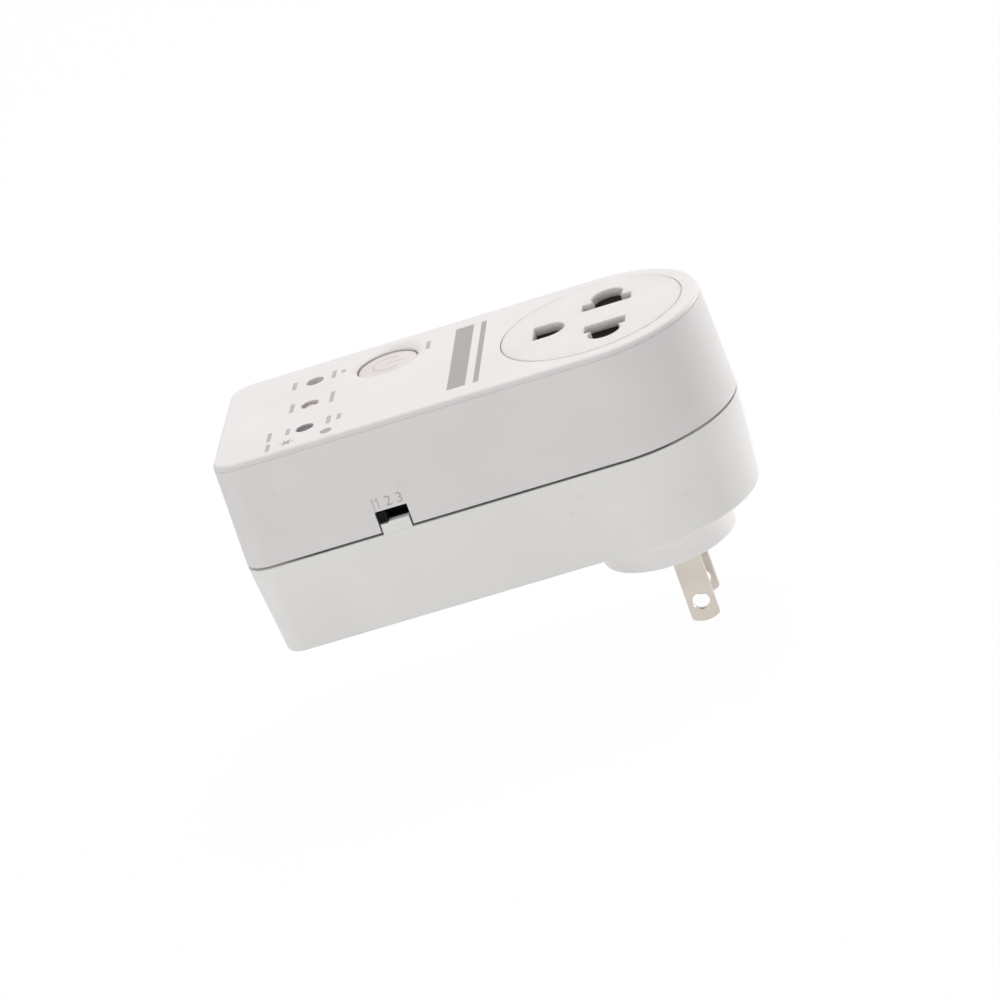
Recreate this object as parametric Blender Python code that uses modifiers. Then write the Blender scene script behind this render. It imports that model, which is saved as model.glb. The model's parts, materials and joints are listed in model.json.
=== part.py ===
"""A plug-in voltage protector with a through outlet, modelled piece by piece, in metres.

The origin is the middle of the plug boss's flat face, which lies against the wall outlet. +Z points out
of the wall towards the outlet face, and +X points from the status lights towards the outlet.
"""
import math

import bmesh
import bpy
from mathutils import Matrix, Vector

# Clearances
SEAT_GAP = 0.0003
SLIDE_GAP = 0.0002
THREAD_GAP = 0.0001

# Case
BODY_LENGTH = 0.1120
BODY_WIDTH = 0.0506
BACK_DEPTH = 0.0218
FRONT_DEPTH = 0.0249
BACK_DRAFT = 0.0021
FRONT_DRAFT = 0.0008
CORNER_RADIUS = 0.0060
LEAST_CORNER = 0.0008
FACE_FILLET = 0.0016
BACK_FILLET = 0.0012
WALL = 0.0022
PARTING_GAP = 0.0005
LIP_WIDTH = 0.0010
LIP_HEIGHT = 0.0020

# Screws that close the case, and their posts
POST_RADIUS = 0.0034
POST_WALL_ROOM = 0.0011
BACK_POST_WALL = 0.0010
CASE_SHANK_RADIUS = 0.0014
CASE_SCREW_BITE = 0.0100
CASE_HEAD_RADIUS = 0.0028
CASE_HEAD_HEIGHT = 0.0022
CASE_HEAD_ROOM = 0.0003
POST_SHELF = 0.0025

# Shape of a screw's head, as shares of its radius
HEAD_CROWN = 0.80
CROSS_REACH = 0.55
CROSS_SLIT = 0.12

# Outlet face
INSERT_BORDER = 0.0047
INSERT_GAP = 0.0003
INSERT_EDGE = 0.0003
INSERT_PLATE = 0.0020
INSERT_FLANGE = 0.0018
SLOT_X = 0.0034
SLOT_INNER = 0.0048
SLOT_WIDTH = 0.0044
NEUTRAL_SLOT_LENGTH = 0.0112
LINE_SLOT_LENGTH = 0.0098
SLOT_ROUND_RADIUS = 0.0040
SLOT_REACH = 0.0149
EARTH_FLAT_X = -0.0132
EARTH_TIP_X = -0.0060
EARTH_RADIUS = 0.0040

# Outlet contacts and their carrier
CARRIER_INSET = 0.0020
CARRIER_HEIGHT = 0.0160
WELL_ROOM = 0.0005
WELL_FLOOR = 0.0035
OUTLET_PITCH = 0.0127
CONTACT_WIDTH = 0.0066
CONTACT_HEIGHT = 0.0076
CONTACT_STRIP = 0.0005
CONTACT_GRIP = 0.0007
CONTACT_FOOT = 0.0016
CONTACT_FLARE = 0.0015
CONTACT_THROAT = 0.0016
EARTH_GRIP = 0.0022
EARTH_FOOT = 0.0029
EARTH_FLARE = 0.0032
EARTH_CONTACT_WIDTH = 0.0056
TAIL_WIDTH = 0.0030
TAIL_THICKNESS = 0.0008
TAIL_DROP = 0.0060

# Plug
PLUG_HEIGHT = 0.0087
PLUG_RADIUS = 0.0154
PLUG_EDGE = 0.0007
PLUG_FLANGE_WIDTH = 0.0015
PLUG_FLANGE = 0.0020
BLADE_X = 0.0030
BLADE_PITCH = 0.0127
BLADE_WIDTH = 0.00635
BLADE_THICKNESS = 0.0015
BLADE_LENGTH = 0.0178
BLADE_TIP_RISE = 0.0010
BLADE_HOLE_RADIUS = 0.00198
BLADE_HOLE_DROP = 0.0130
SHOULDER_WIDTH = 0.0086
SHOULDER_HEIGHT = 0.0022
BLADE_TAB_WIDTH = 0.0048
BLADE_TAB_HEIGHT = 0.0048
RETAINER_WIDTH = 0.0200
RETAINER_EDGE = 0.0007
RETAINER_THICKNESS = 0.0016
RETAINER_SHANK_RADIUS = 0.0012
RETAINER_HEAD_RADIUS = 0.0023
RETAINER_HEAD_HEIGHT = 0.0016
RETAINER_SCREW_BITE = 0.0060
RETAINER_SCREW_PITCH = 0.0160
PILLAR_RADIUS = 0.0016
PILLAR_ANGLES = (45, 135, 225, 315)

# Side window and delay switch, with the window's place as a share of the case's length
WINDOW_SHARE = 0.3154
WINDOW_WIDTH = 0.0073
WINDOW_HEIGHT = 0.0052
TAB_HEIGHT = 0.0024
TAB_THICKNESS = 0.0017
TAB_ROOT = 0.0008
TAB_INSET = 0.0001
KNOB_WIDTH = 0.0021
KNOB_HEIGHT = 0.0022
KNOB_RECESS = 0.0003
KNOB_ROOT = 0.0022
KNOB_EDGE = 0.0003
SWITCH_LENGTH = 0.0110
SWITCH_DEPTH = 0.0060
SWITCH_HEIGHT = 0.0044
SWITCH_WALL_ROOM = 0.0006

# Circuit board
BOARD_THICKNESS = 0.0016
BOARD_POST_ROOM = 0.0006
BOARD_SIDE_ROOM = 0.0014
BOARD_SCREW_INSET = 0.0032
BOARD_POST_RADIUS = 0.0026
BOARD_SHANK_RADIUS = 0.0011
BOARD_HEAD_RADIUS = 0.0021
BOARD_HEAD_HEIGHT = 0.0015
BOARD_SCREW_BITE = 0.0060

# Power button and tact switch, with the button's place as a share of the case's length
BUTTON_SHARE = 0.3429
BUTTON_FROM_SIDE = 0.0121
BUTTON_RADIUS = 0.0070
BUTTON_GAP = 0.0003
BUTTON_RECESS = 0.0013
BUTTON_CROWN = 0.0003
BUTTON_CROWN_SHARES = (0.0, 0.4, 0.7, 1.0)
BUTTON_EDGE = 0.0004
BUTTON_FLANGE_WIDTH = 0.0012
BUTTON_FLANGE = 0.0014
BUTTON_STEM_RADIUS = 0.0020
DISH_RADIUS = 0.0094
DISH_DEPTH = 0.0009
TACT_WIDTH = 0.0060
TACT_HEIGHT = 0.0035
TACT_PLUNGER_RADIUS = 0.0017
TACT_PLUNGER_TOP = 0.0095
TACT_PLUNGER_ROOT = 0.0009
TACT_WELL = 0.0022

# Status lights, with their place as shares of the case's length and half width
LED_SHARE = 0.1938
LED_Y_SHARES = (0.518, -0.032, -0.581)
LED_HOLE_RADIUS = 0.00215
LED_RECESS = 0.0010
LED_RADIUS = 0.0015
LED_LENGTH = 0.0053
LED_RIM_RADIUS = 0.0019
LED_RIM_HEIGHT = 0.0010
LED_SPACER_BORE = 0.0011
LED_LEAD_RADIUS = 0.00025
LED_LEAD_PITCH = 0.00127

# Parts on the board: footprint and middle as shares of the board's length and half width
RELAY_FOOTPRINT = (0.248, 1.336)
RELAY_HEIGHT = 0.0157
RELAY_AT = (0.847, 0.0)
FILM_FOOTPRINT = (0.166, 0.830)
FILM_HEIGHT = 0.0145
FILM_AT = (0.351, -0.194)
CHIP_FOOTPRINT = (0.156, 0.276)
CHIP_HEIGHT = 0.0025
CHIP_AT = (0.343, 0.585)
BRIDGE_FOOTPRINT = (0.090, 0.387)
BRIDGE_HEIGHT = 0.0034
BRIDGE_AT = (0.492, 0.157)
REGULATOR_FOOTPRINT = (0.090, 0.166)
REGULATOR_HEIGHT = 0.0048
REGULATOR_AT = (0.669, 0.369)
DRIVER_AT = (0.669, 0.848)
PART_EDGE = 0.0004

# Round parts on the board, with their radius as a share of the board's shorter side
STORAGE_SHARE = 0.115
STORAGE_HEIGHT = 0.0160
STORAGE_AT = (0.599, -0.369)
FILTER_SHARE = 0.0725
FILTER_HEIGHT = 0.0110
FILTER_AT = (0.618, 0.115)
FUSE_SHARE = 0.096
FUSE_HEIGHT = 0.0080
FUSE_AT = (0.090, 0.300)
CAN_EDGE = 0.0007
VARISTOR_SHARE = 0.138
VARISTOR_THICKNESS = 0.0036
VARISTOR_AT = (0.088, -0.369)
RESISTOR_SHARE = 0.028
RESISTOR_LENGTH = 0.0063
DROPPER_AT = (0.300, 0.885)
BLEEDER_AT = (0.463, 0.885)

# Wires inside the case
MAINS_WIRE_RADIUS = 0.0012
FEED_WIRE_RADIUS = 0.0008
WIRE_LAND_FROM_OUTLET = 0.0101
WIRE_LEVEL = 0.0042
WIRE_STUB = 0.0012
WIRE_STEP = 0.0030
WIRE_TURN = 0.0060
WIRE_LEAN = 0.0007
WIRE_UNDER_X = -0.0140
LINE_WIRE_Y = (-0.0080, -0.0094, -0.0100)
LOAD_WIRE_Y = (-0.0032, -0.0026, -0.0026)
LOAD_WIRE_LIFT = 0.0012
FEED_WIRE_Y = (0.0082, 0.0090)
FEED_WIRE_DIP = 0.0020

# Fineness of round shapes
ROUND_STEPS = 48
CAN_STEPS = 24
SMALL_STEPS = 16
POST_STEPS = 12
LEAD_STEPS = 6
TIP_STEPS = 10
DOME_STEPS = 5
EDGE_STEPS = 2
HALF_ROUND_STEPS = 28
CORNER_STEPS = 6
FILLET_STEPS = 3
SHARP_ANGLE = math.radians(35.0)
MERGE_DISTANCE = 0.00001
CUT_MARGIN = 0.0010

# Levels and places that follow from the sizes above
LIGHT_END_X = BODY_WIDTH / 2 - BODY_LENGTH
Z_BACK = PLUG_HEIGHT
Z_PART = Z_BACK + BACK_DEPTH
Z_FACE = Z_PART + FRONT_DEPTH
Z_FACE_IN = Z_FACE - WALL
Z_BACK_IN = Z_BACK + WALL
Z_FRONT_RIM = Z_PART + PARTING_GAP / 2
Z_BACK_RIM = Z_PART - PARTING_GAP / 2
INSERT_RADIUS = BODY_WIDTH / 2 - INSERT_BORDER
CARRIER_RADIUS = INSERT_RADIUS - CARRIER_INSET
FLANGE_RADIUS = BODY_WIDTH / 2 - WALL - FRONT_DRAFT - SEAT_GAP
Z_CARRIER_TOP = Z_FACE - INSERT_PLATE - SEAT_GAP
Z_CARRIER_BOTTOM = Z_CARRIER_TOP - CARRIER_HEIGHT
Z_WELL_FLOOR = Z_CARRIER_BOTTOM + WELL_FLOOR
Z_CONTACT_FOOT = Z_WELL_FLOOR + SEAT_GAP
Z_CONTACT_TOP = Z_CONTACT_FOOT + CONTACT_HEIGHT
Z_TAIL_END = Z_CARRIER_BOTTOM - TAIL_DROP
CONTACT_REACH = max(CONTACT_FLARE, CONTACT_FOOT) + CONTACT_STRIP + SEAT_GAP
WELL_INNER = min(SLOT_INNER - WELL_ROOM, OUTLET_PITCH / 2 - CONTACT_REACH)
POST_Y = BODY_WIDTH / 2 - WALL - FRONT_DRAFT - POST_RADIUS - POST_WALL_ROOM
LIGHT_POST_X = LIGHT_END_X + WALL + FRONT_DRAFT + POST_RADIUS + POST_WALL_ROOM
OUTLET_POST_X = -math.sqrt((FLANGE_RADIUS + POST_RADIUS + SEAT_GAP) ** 2 - POST_Y ** 2)
CASE_POSTS = [(x, y) for x in (LIGHT_POST_X, OUTLET_POST_X) for y in (POST_Y, -POST_Y)]
Z_KNOB_BOTTOM = Z_PART + TAB_HEIGHT + SLIDE_GAP
Z_KNOB = Z_KNOB_BOTTOM + KNOB_HEIGHT / 2
Z_BOARD_TOP = Z_KNOB - SWITCH_HEIGHT / 2 - SEAT_GAP
Z_BOARD_BOTTOM = Z_BOARD_TOP - BOARD_THICKNESS
Z_ON_BOARD = Z_BOARD_TOP + SEAT_GAP
BACK_POST_RADIUS = CASE_HEAD_RADIUS + CASE_HEAD_ROOM + BACK_POST_WALL
BOARD_POST_REACH = max(POST_RADIUS, BACK_POST_RADIUS) + BOARD_POST_ROOM
BOARD_X = LIGHT_POST_X + BOARD_POST_REACH
BOARD_END_X = OUTLET_POST_X - BOARD_POST_REACH
BOARD_Y = BODY_WIDTH / 2 - WALL - BOARD_SIDE_ROOM
BOARD_POSTS = [
    (x, y)
    for x in (BOARD_X + BOARD_SCREW_INSET, BOARD_END_X - BOARD_SCREW_INSET)
    for y in (BOARD_Y - BOARD_SCREW_INSET, BOARD_SCREW_INSET - BOARD_Y)
]
BOARD_LENGTH = BOARD_END_X - BOARD_X
BOARD_SHORT_SIDE = min(BOARD_LENGTH, 2 * BOARD_Y)
WINDOW_X = LIGHT_END_X + WINDOW_SHARE * BODY_LENGTH
BUTTON_X = LIGHT_END_X + BUTTON_SHARE * BODY_LENGTH
BUTTON_Y = BODY_WIDTH / 2 - BUTTON_FROM_SIDE
LED_X = LIGHT_END_X + LED_SHARE * BODY_LENGTH
LED_Y = [share * BODY_WIDTH / 2 for share in LED_Y_SHARES]
Z_LED_TOP = Z_FACE - LED_RECESS
Z_LED_BOTTOM = Z_LED_TOP - LED_LENGTH
Z_SPACER_TOP = Z_LED_BOTTOM - SEAT_GAP
Z_PLUNGER_TOP = Z_ON_BOARD + TACT_PLUNGER_TOP
Z_PLUG_FLANGE = Z_BACK_IN + SEAT_GAP
Z_PLUG_TOP = Z_PLUG_FLANGE + PLUG_FLANGE
Z_SHOULDER_TOP = Z_PLUG_TOP
Z_SHOULDER_BOTTOM = Z_SHOULDER_TOP - SHOULDER_HEIGHT
Z_RETAINER = Z_PLUG_TOP + SEAT_GAP
Z_RETAINER_TOP = Z_RETAINER + RETAINER_THICKNESS
Z_TAB_TOP = Z_RETAINER_TOP + BLADE_TAB_HEIGHT
SIDES = (1, -1)
RETAINER_SCREWS = [(BLADE_X + side * RETAINER_SCREW_PITCH / 2, 0.0) for side in SIDES]
SLOTS = tuple(zip(SIDES, (NEUTRAL_SLOT_LENGTH, LINE_SLOT_LENGTH)))


# Scene


def clear_scene():
    for obj in list(bpy.data.objects):
        bpy.data.objects.remove(obj)


def new_collection(name):
    collection = bpy.data.collections.new(name)
    bpy.context.scene.collection.children.link(collection)
    return collection


def new_finish(name, colour, roughness, metallic=0.0):
    material = bpy.data.materials.new(name)
    material.use_nodes = True
    shader = material.node_tree.nodes["Principled BSDF"]
    shader.inputs["Base Color"].default_value = (*colour, 1.0)
    shader.inputs["Roughness"].default_value = roughness
    shader.inputs["Metallic"].default_value = metallic
    return material


clear_scene()
PARTS = new_collection("voltage_protector")
CUTTERS = new_collection("cutters")
WHITE_PLASTIC = new_finish("White plastic", (0.80, 0.79, 0.77), 0.45)
BUTTON_PLASTIC = new_finish("Button plastic", (0.82, 0.80, 0.79), 0.40)
BLACK_PLASTIC = new_finish("Black plastic", (0.02, 0.02, 0.02), 0.50)
NICKEL = new_finish("Nickel plated brass", (0.72, 0.68, 0.62), 0.30, 1.0)
BRASS = new_finish("Brass", (0.72, 0.52, 0.22), 0.35, 1.0)
STEEL = new_finish("Zinc plated steel", (0.62, 0.62, 0.63), 0.35, 1.0)
LAMINATE = new_finish("Board laminate", (0.05, 0.22, 0.08), 0.50)
INSULATION = new_finish("Brown insulation", (0.30, 0.16, 0.07), 0.55)
RELAY_BLUE = new_finish("Blue relay case", (0.03, 0.12, 0.45), 0.40)
FILM_YELLOW = new_finish("Yellow film case", (0.80, 0.55, 0.08), 0.45)
VARISTOR_BLUE = new_finish("Blue epoxy", (0.05, 0.20, 0.50), 0.50)
CAN_SLEEVE = new_finish("Capacitor sleeve", (0.03, 0.03, 0.05), 0.40)
FUSE_BODY = new_finish("Fuse body", (0.25, 0.08, 0.05), 0.45)
RESISTOR_TAN = new_finish("Resistor coat", (0.62, 0.48, 0.32), 0.55)
CLEAR_LENS = new_finish("Clear lens", (0.70, 0.66, 0.66), 0.15)
RED_WIRE = new_finish("Red wire", (0.50, 0.03, 0.03), 0.45)
BLACK_WIRE = new_finish("Black wire", (0.03, 0.03, 0.03), 0.45)
WHITE_WIRE = new_finish("White wire", (0.75, 0.74, 0.72), 0.45)


# Objects


def shade_round(mesh):
    mesh.shade_smooth()
    mesh.set_sharp_from_angle(angle=SHARP_ANGLE)


def add_part(name, mesh, finish, location=(0.0, 0.0, 0.0)):
    shade_round(mesh)
    mesh.materials.clear()
    mesh.materials.append(finish)
    part = bpy.data.objects.new(name, mesh)
    part.location = location
    PARTS.objects.link(part)
    return part


def add_guide(name, mesh):
    guide = bpy.data.objects.new(name, mesh)
    guide.hide_render = True
    guide.display_type = "WIRE"
    CUTTERS.objects.link(guide)
    return guide


def closed_mesh(bm):
    bmesh.ops.recalc_face_normals(bm, faces=bm.faces)
    mesh = bpy.data.meshes.new("solid")
    bm.to_mesh(mesh)
    bm.free()
    return mesh


def combine(part, bm, operation):
    boolean = part.modifiers.new(operation.title(), "BOOLEAN")
    boolean.operation = operation
    boolean.solver = "EXACT"
    boolean.object = add_guide(f"{part.name}_{operation.lower()}_{len(part.modifiers)}", closed_mesh(bm))


def cut(part, bm):
    combine(part, bm, "DIFFERENCE")


def join(part, bm):
    combine(part, bm, "UNION")


def soften(part, width, segments=EDGE_STEPS):
    bevel = part.modifiers.new("Bevel", "BEVEL")
    bevel.width = width
    bevel.segments = segments
    bevel.limit_method = "ANGLE"
    bevel.angle_limit = SHARP_ANGLE


# Shapes


def put_box(bm, low, high):
    size = [b - a for a, b in zip(low, high)]
    middle = [(a + b) / 2 for a, b in zip(low, high)]
    bmesh.ops.create_cube(bm, size=1.0, matrix=Matrix.Translation(middle) @ Matrix.Diagonal((*size, 1.0)))


def put_rod(bm, xy, radius, bottom, top, steps=POST_STEPS, top_radius=None):
    bmesh.ops.create_cone(
        bm,
        cap_ends=True,
        segments=steps,
        radius1=radius,
        radius2=radius if top_radius is None else top_radius,
        depth=top - bottom,
        matrix=Matrix.Translation((*xy, (bottom + top) / 2)),
    )


def put_lying_rod(bm, middle, radius, length):
    """A round body that lies along X."""
    turn = Matrix.Translation(middle) @ Matrix.Rotation(math.pi / 2, 4, "Y")
    bmesh.ops.create_cone(
        bm, cap_ends=True, segments=SMALL_STEPS, radius1=radius, radius2=radius, depth=length, matrix=turn
    )


def box(low, high):
    bm = bmesh.new()
    put_box(bm, low, high)
    return closed_mesh(bm)


def arc(centre, radius, start, end, steps):
    """Points on an arc from one angle to another, in degrees, both ends included."""
    angles = [math.radians(start + (end - start) * i / steps) for i in range(steps + 1)]
    return [(centre[0] + radius * math.cos(a), centre[1] + radius * math.sin(a)) for a in angles]


def baked(guide):
    """The mesh that an object's modifiers make. The object itself is removed."""
    mesh = bpy.data.meshes.new_from_object(guide.evaluated_get(bpy.context.evaluated_depsgraph_get()))
    bpy.data.objects.remove(guide)
    return mesh


def turned(profile, steps=ROUND_STEPS):
    """A closed mesh turned about Z from a profile of radius and height, listed from its top down."""
    mesh = bpy.data.meshes.new("profile")
    edges = [(i, i + 1) for i in range(len(profile) - 1)]
    mesh.from_pydata([(radius, 0.0, z) for radius, z in profile], edges, [])
    guide = add_guide("profile", mesh)
    screw = guide.modifiers.new("Screw", "SCREW")
    screw.steps = steps
    screw.render_steps = steps
    screw.use_merge_vertices = True
    screw.merge_threshold = MERGE_DISTANCE
    return baked(guide)


def body_outline(inset):
    """The case's outline, drawn in by inset: a half round at the outlet, round corners at the lights."""
    radius = BODY_WIDTH / 2 - inset
    corner = max(CORNER_RADIUS - inset, LEAST_CORNER)
    corner_x = LIGHT_END_X + inset + corner
    points = arc((0.0, 0.0), radius, -90, 90, HALF_ROUND_STEPS)
    points += arc((corner_x, radius - corner), corner, 90, 180, CORNER_STEPS)
    points += arc((corner_x, corner - radius), corner, 180, 270, CORNER_STEPS)
    return points


def loft(sections):
    """A closed mesh through outlines of the case, each with its inset and height, capped at both ends."""
    bm = bmesh.new()
    rings = [[bm.verts.new((x, y, z)) for x, y in body_outline(inset)] for inset, z in sections]
    for first, second in zip(rings, rings[1:]):
        for i in range(len(first)):
            bm.faces.new((first[i - 1], first[i], second[i], second[i - 1]))
    for end in (rings[0], rings[-1]):
        bm.faces.new(end)
    return closed_mesh(bm)


def round_edge(inset, z, radius, rise):
    """Sections of a rounded edge that starts upright at inset and z, with rise 1 for up and -1 for down."""
    turns = [math.radians(90 * i / FILLET_STEPS) for i in range(FILLET_STEPS + 1)]
    return [(inset + radius * (1 - math.cos(a)), z + rise * radius * math.sin(a)) for a in turns]


def flat_piece(name, outlines, thickness, finish, location):
    """A flat piece that stands in the XZ plane, from outlines of which the inner ones are holes."""
    curve = bpy.data.curves.new(name, "CURVE")
    curve.dimensions = "2D"
    curve.fill_mode = "BOTH"
    curve.extrude = thickness / 2
    for outline in outlines:
        spline = curve.splines.new("POLY")
        spline.points.add(len(outline) - 1)
        spline.use_cyclic_u = True
        for point, (x, z) in zip(spline.points, outline):
            point.co = (x, z, 0.0, 1.0)
    curve.materials.append(finish)
    piece = bpy.data.objects.new(name, curve)
    piece.rotation_euler = (math.pi / 2, 0.0, 0.0)
    piece.location = location
    PARTS.objects.link(piece)


def smooth_route(points):
    """Points about a step apart on a smooth curve through a route's own points."""
    route = [Vector(point) for point in points]
    padded = [2 * route[0] - route[1], *route, 2 * route[-1] - route[-2]]
    smooth = []
    for before, start, end, after in zip(padded, padded[1:], padded[2:], padded[3:]):
        pieces = max(1, round((end - start).length / WIRE_STEP))
        for i in range(pieces):
            t = i / pieces
            bend = 2 * before - 5 * start + 4 * end - after
            swing = 3 * start - before - 3 * end + after
            smooth.append(start + ((end - before) * t + bend * t ** 2 + swing * t ** 3) / 2)
    return [*smooth, route[-1]]


def wire(name, points, radius, finish):
    curve = bpy.data.curves.new(name, "CURVE")
    curve.dimensions = "3D"
    curve.bevel_depth = radius
    curve.bevel_resolution = EDGE_STEPS
    curve.use_fill_caps = True
    route = smooth_route(points)
    spline = curve.splines.new("POLY")
    spline.points.add(len(route) - 1)
    for point, place in zip(spline.points, route):
        point.co = (*place, 1.0)
    curve.materials.append(finish)
    PARTS.objects.link(bpy.data.objects.new(name, curve))


# Covers


def front_inset(z):
    return FRONT_DRAFT * (z - Z_PART) / FRONT_DEPTH


def back_inset(z):
    return BACK_DRAFT * (Z_PART - z) / BACK_DEPTH


def front_cover():
    rebate = WALL - LIP_WIDTH - SEAT_GAP
    rebate_top = Z_PART + LIP_HEIGHT + SEAT_GAP
    fillet_z = Z_FACE - FACE_FILLET
    inside = [(WALL + front_inset(z), z) for z in (Z_FACE_IN, rebate_top)]
    rim = [(rebate, rebate_top), (rebate, Z_FRONT_RIM), (front_inset(Z_FRONT_RIM), Z_FRONT_RIM)]
    outside = round_edge(front_inset(fillet_z), fillet_z, FACE_FILLET, 1)
    cover = add_part("front_cover", loft(inside + rim + outside), WHITE_PLASTIC)

    posts = bmesh.new()
    for place in CASE_POSTS:
        put_rod(posts, place, POST_RADIUS, Z_PART + SEAT_GAP / 2, Z_FACE_IN + WALL / 2)
    for place in BOARD_POSTS:
        put_rod(posts, place, BOARD_POST_RADIUS, Z_BOARD_TOP + SEAT_GAP, Z_FACE_IN + WALL / 2)
    join(cover, posts)

    holes = bmesh.new()
    for place in CASE_POSTS:
        pilot_top = Z_PART + CASE_SCREW_BITE + CUT_MARGIN
        put_rod(holes, place, CASE_SHANK_RADIUS + THREAD_GAP, Z_PART - CUT_MARGIN, pilot_top)
    for place in BOARD_POSTS:
        pilot_top = Z_BOARD_TOP + BOARD_SCREW_BITE + CUT_MARGIN
        put_rod(holes, place, BOARD_SHANK_RADIUS + THREAD_GAP, Z_BOARD_TOP - CUT_MARGIN, pilot_top)
    for y in LED_Y:
        put_rod(holes, (LED_X, y), LED_HOLE_RADIUS, Z_FACE_IN - CUT_MARGIN, Z_FACE + CUT_MARGIN, SMALL_STEPS)
    outlet_hole = INSERT_RADIUS + INSERT_GAP
    put_rod(holes, (0.0, 0.0), outlet_hole, Z_FACE_IN - CUT_MARGIN, Z_FACE + CUT_MARGIN, ROUND_STEPS)
    side = -BODY_WIDTH / 2
    put_box(
        holes,
        (WINDOW_X - WINDOW_WIDTH / 2, side - CUT_MARGIN, Z_FRONT_RIM - CUT_MARGIN),
        (WINDOW_X + WINDOW_WIDTH / 2, side + WALL + FRONT_DRAFT + CUT_MARGIN, Z_PART + WINDOW_HEIGHT),
    )
    cut(cover, holes)

    button_hole = bmesh.new()
    hole_radius = BUTTON_RADIUS + BUTTON_GAP
    hole_at = (BUTTON_X, BUTTON_Y)
    put_rod(button_hole, hole_at, hole_radius, Z_FACE_IN - CUT_MARGIN, Z_FACE + CUT_MARGIN, ROUND_STEPS)
    cut(cover, button_hole)
    dish = bmesh.new()
    slope = (DISH_RADIUS - hole_radius) / DISH_DEPTH
    dish_top = DISH_RADIUS + slope * CUT_MARGIN
    put_rod(dish, hole_at, hole_radius, Z_FACE - DISH_DEPTH, Z_FACE + CUT_MARGIN, ROUND_STEPS, dish_top)
    cut(cover, dish)


def back_cover():
    lip = WALL - LIP_WIDTH
    lip_top = Z_PART + LIP_HEIGHT
    fillet_z = Z_BACK + BACK_FILLET
    inside = [(WALL + back_inset(Z_BACK_IN), Z_BACK_IN), (WALL, Z_BACK_RIM), (WALL, lip_top)]
    rim = [(lip, lip_top), (lip, Z_BACK_RIM), (back_inset(Z_BACK_RIM), Z_BACK_RIM)]
    outside = round_edge(back_inset(fillet_z), fillet_z, BACK_FILLET, -1)
    cover = add_part("back_cover", loft(inside + rim + outside), WHITE_PLASTIC)

    posts = bmesh.new()
    for place in CASE_POSTS:
        put_rod(posts, place, BACK_POST_RADIUS, Z_BACK + WALL / 2, Z_PART - SEAT_GAP / 2)
    join(cover, posts)

    pillars = bmesh.new()
    pillar_reach = PLUG_RADIUS + PLUG_FLANGE_WIDTH + SEAT_GAP + PILLAR_RADIUS
    for angle in PILLAR_ANGLES:
        turn = math.radians(angle)
        place = (pillar_reach * math.cos(turn), pillar_reach * math.sin(turn))
        put_rod(pillars, place, PILLAR_RADIUS, Z_BACK + WALL / 2, Z_CARRIER_BOTTOM - SEAT_GAP)
    join(cover, pillars)

    tab = bmesh.new()
    half_tab = WINDOW_WIDTH / 2 - SEAT_GAP
    outer = TAB_INSET - BODY_WIDTH / 2
    put_box(
        tab,
        (WINDOW_X - half_tab, outer, Z_BACK_RIM - TAB_ROOT),
        (WINDOW_X + half_tab, outer + TAB_THICKNESS, Z_PART + TAB_HEIGHT),
    )
    join(cover, tab)

    holes = bmesh.new()
    for place in CASE_POSTS:
        put_rod(holes, place, CASE_SHANK_RADIUS + SEAT_GAP, Z_BACK - CUT_MARGIN, Z_PART + CUT_MARGIN)
    hub = PLUG_RADIUS + SEAT_GAP
    put_rod(holes, (0.0, 0.0), hub, Z_BACK - CUT_MARGIN, Z_BACK_IN + CUT_MARGIN, ROUND_STEPS)
    cut(cover, holes)
    counterbores = bmesh.new()
    for place in CASE_POSTS:
        bore_radius = CASE_HEAD_RADIUS + CASE_HEAD_ROOM
        put_rod(counterbores, place, bore_radius, Z_BACK - CUT_MARGIN, Z_PART - SEAT_GAP / 2 - POST_SHELF)
    cut(cover, counterbores)


# Screws


def pan_screw(head, shank, length, point):
    """A pan head screw about Z whose head bears on height 0, with point 1 for up and -1 for down."""
    head_radius, head_height = head
    levels = [
        (0.0, point * length),
        (shank, point * length),
        (shank, 0.0),
        (head_radius, 0.0),
        (head_radius, -point * head_height / 2),
        (head_radius * HEAD_CROWN, -point * head_height),
        (0.0, -point * head_height),
    ]
    screw = add_guide("screw", turned(levels if point > 0 else levels[::-1], POST_STEPS))
    ends = sorted((-point * head_height / 2, -point * (head_height + CUT_MARGIN)))
    long, short = head_radius * CROSS_REACH, head_radius * CROSS_SLIT
    for x, y in ((long, short), (short, long)):
        slit = bmesh.new()
        put_box(slit, (-x, -y, ends[0]), (x, y, ends[1]))
        cut(screw, slit)
    return baked(screw)


def drive_screws(name, places, seat, mesh):
    for number, place in enumerate(places, 1):
        add_part(f"{name}_{number}", mesh, STEEL, (*place, seat))


def case_screws():
    seat = Z_PART - SEAT_GAP / 2 - POST_SHELF - SEAT_GAP
    length = Z_PART + CASE_SCREW_BITE - seat
    mesh = pan_screw((CASE_HEAD_RADIUS, CASE_HEAD_HEIGHT), CASE_SHANK_RADIUS, length, 1)
    drive_screws("case_screw", CASE_POSTS, seat, mesh)


def board_screws():
    seat = Z_BOARD_BOTTOM - SEAT_GAP
    length = Z_BOARD_TOP + BOARD_SCREW_BITE - seat
    mesh = pan_screw((BOARD_HEAD_RADIUS, BOARD_HEAD_HEIGHT), BOARD_SHANK_RADIUS, length, 1)
    drive_screws("board_screw", BOARD_POSTS, seat, mesh)


def retainer_screws():
    seat = Z_RETAINER_TOP + SEAT_GAP
    length = seat - Z_PLUG_TOP + RETAINER_SCREW_BITE
    mesh = pan_screw((RETAINER_HEAD_RADIUS, RETAINER_HEAD_HEIGHT), RETAINER_SHANK_RADIUS, length, -1)
    drive_screws("retainer_screw", RETAINER_SCREWS, seat, mesh)


# Outlet


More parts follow.
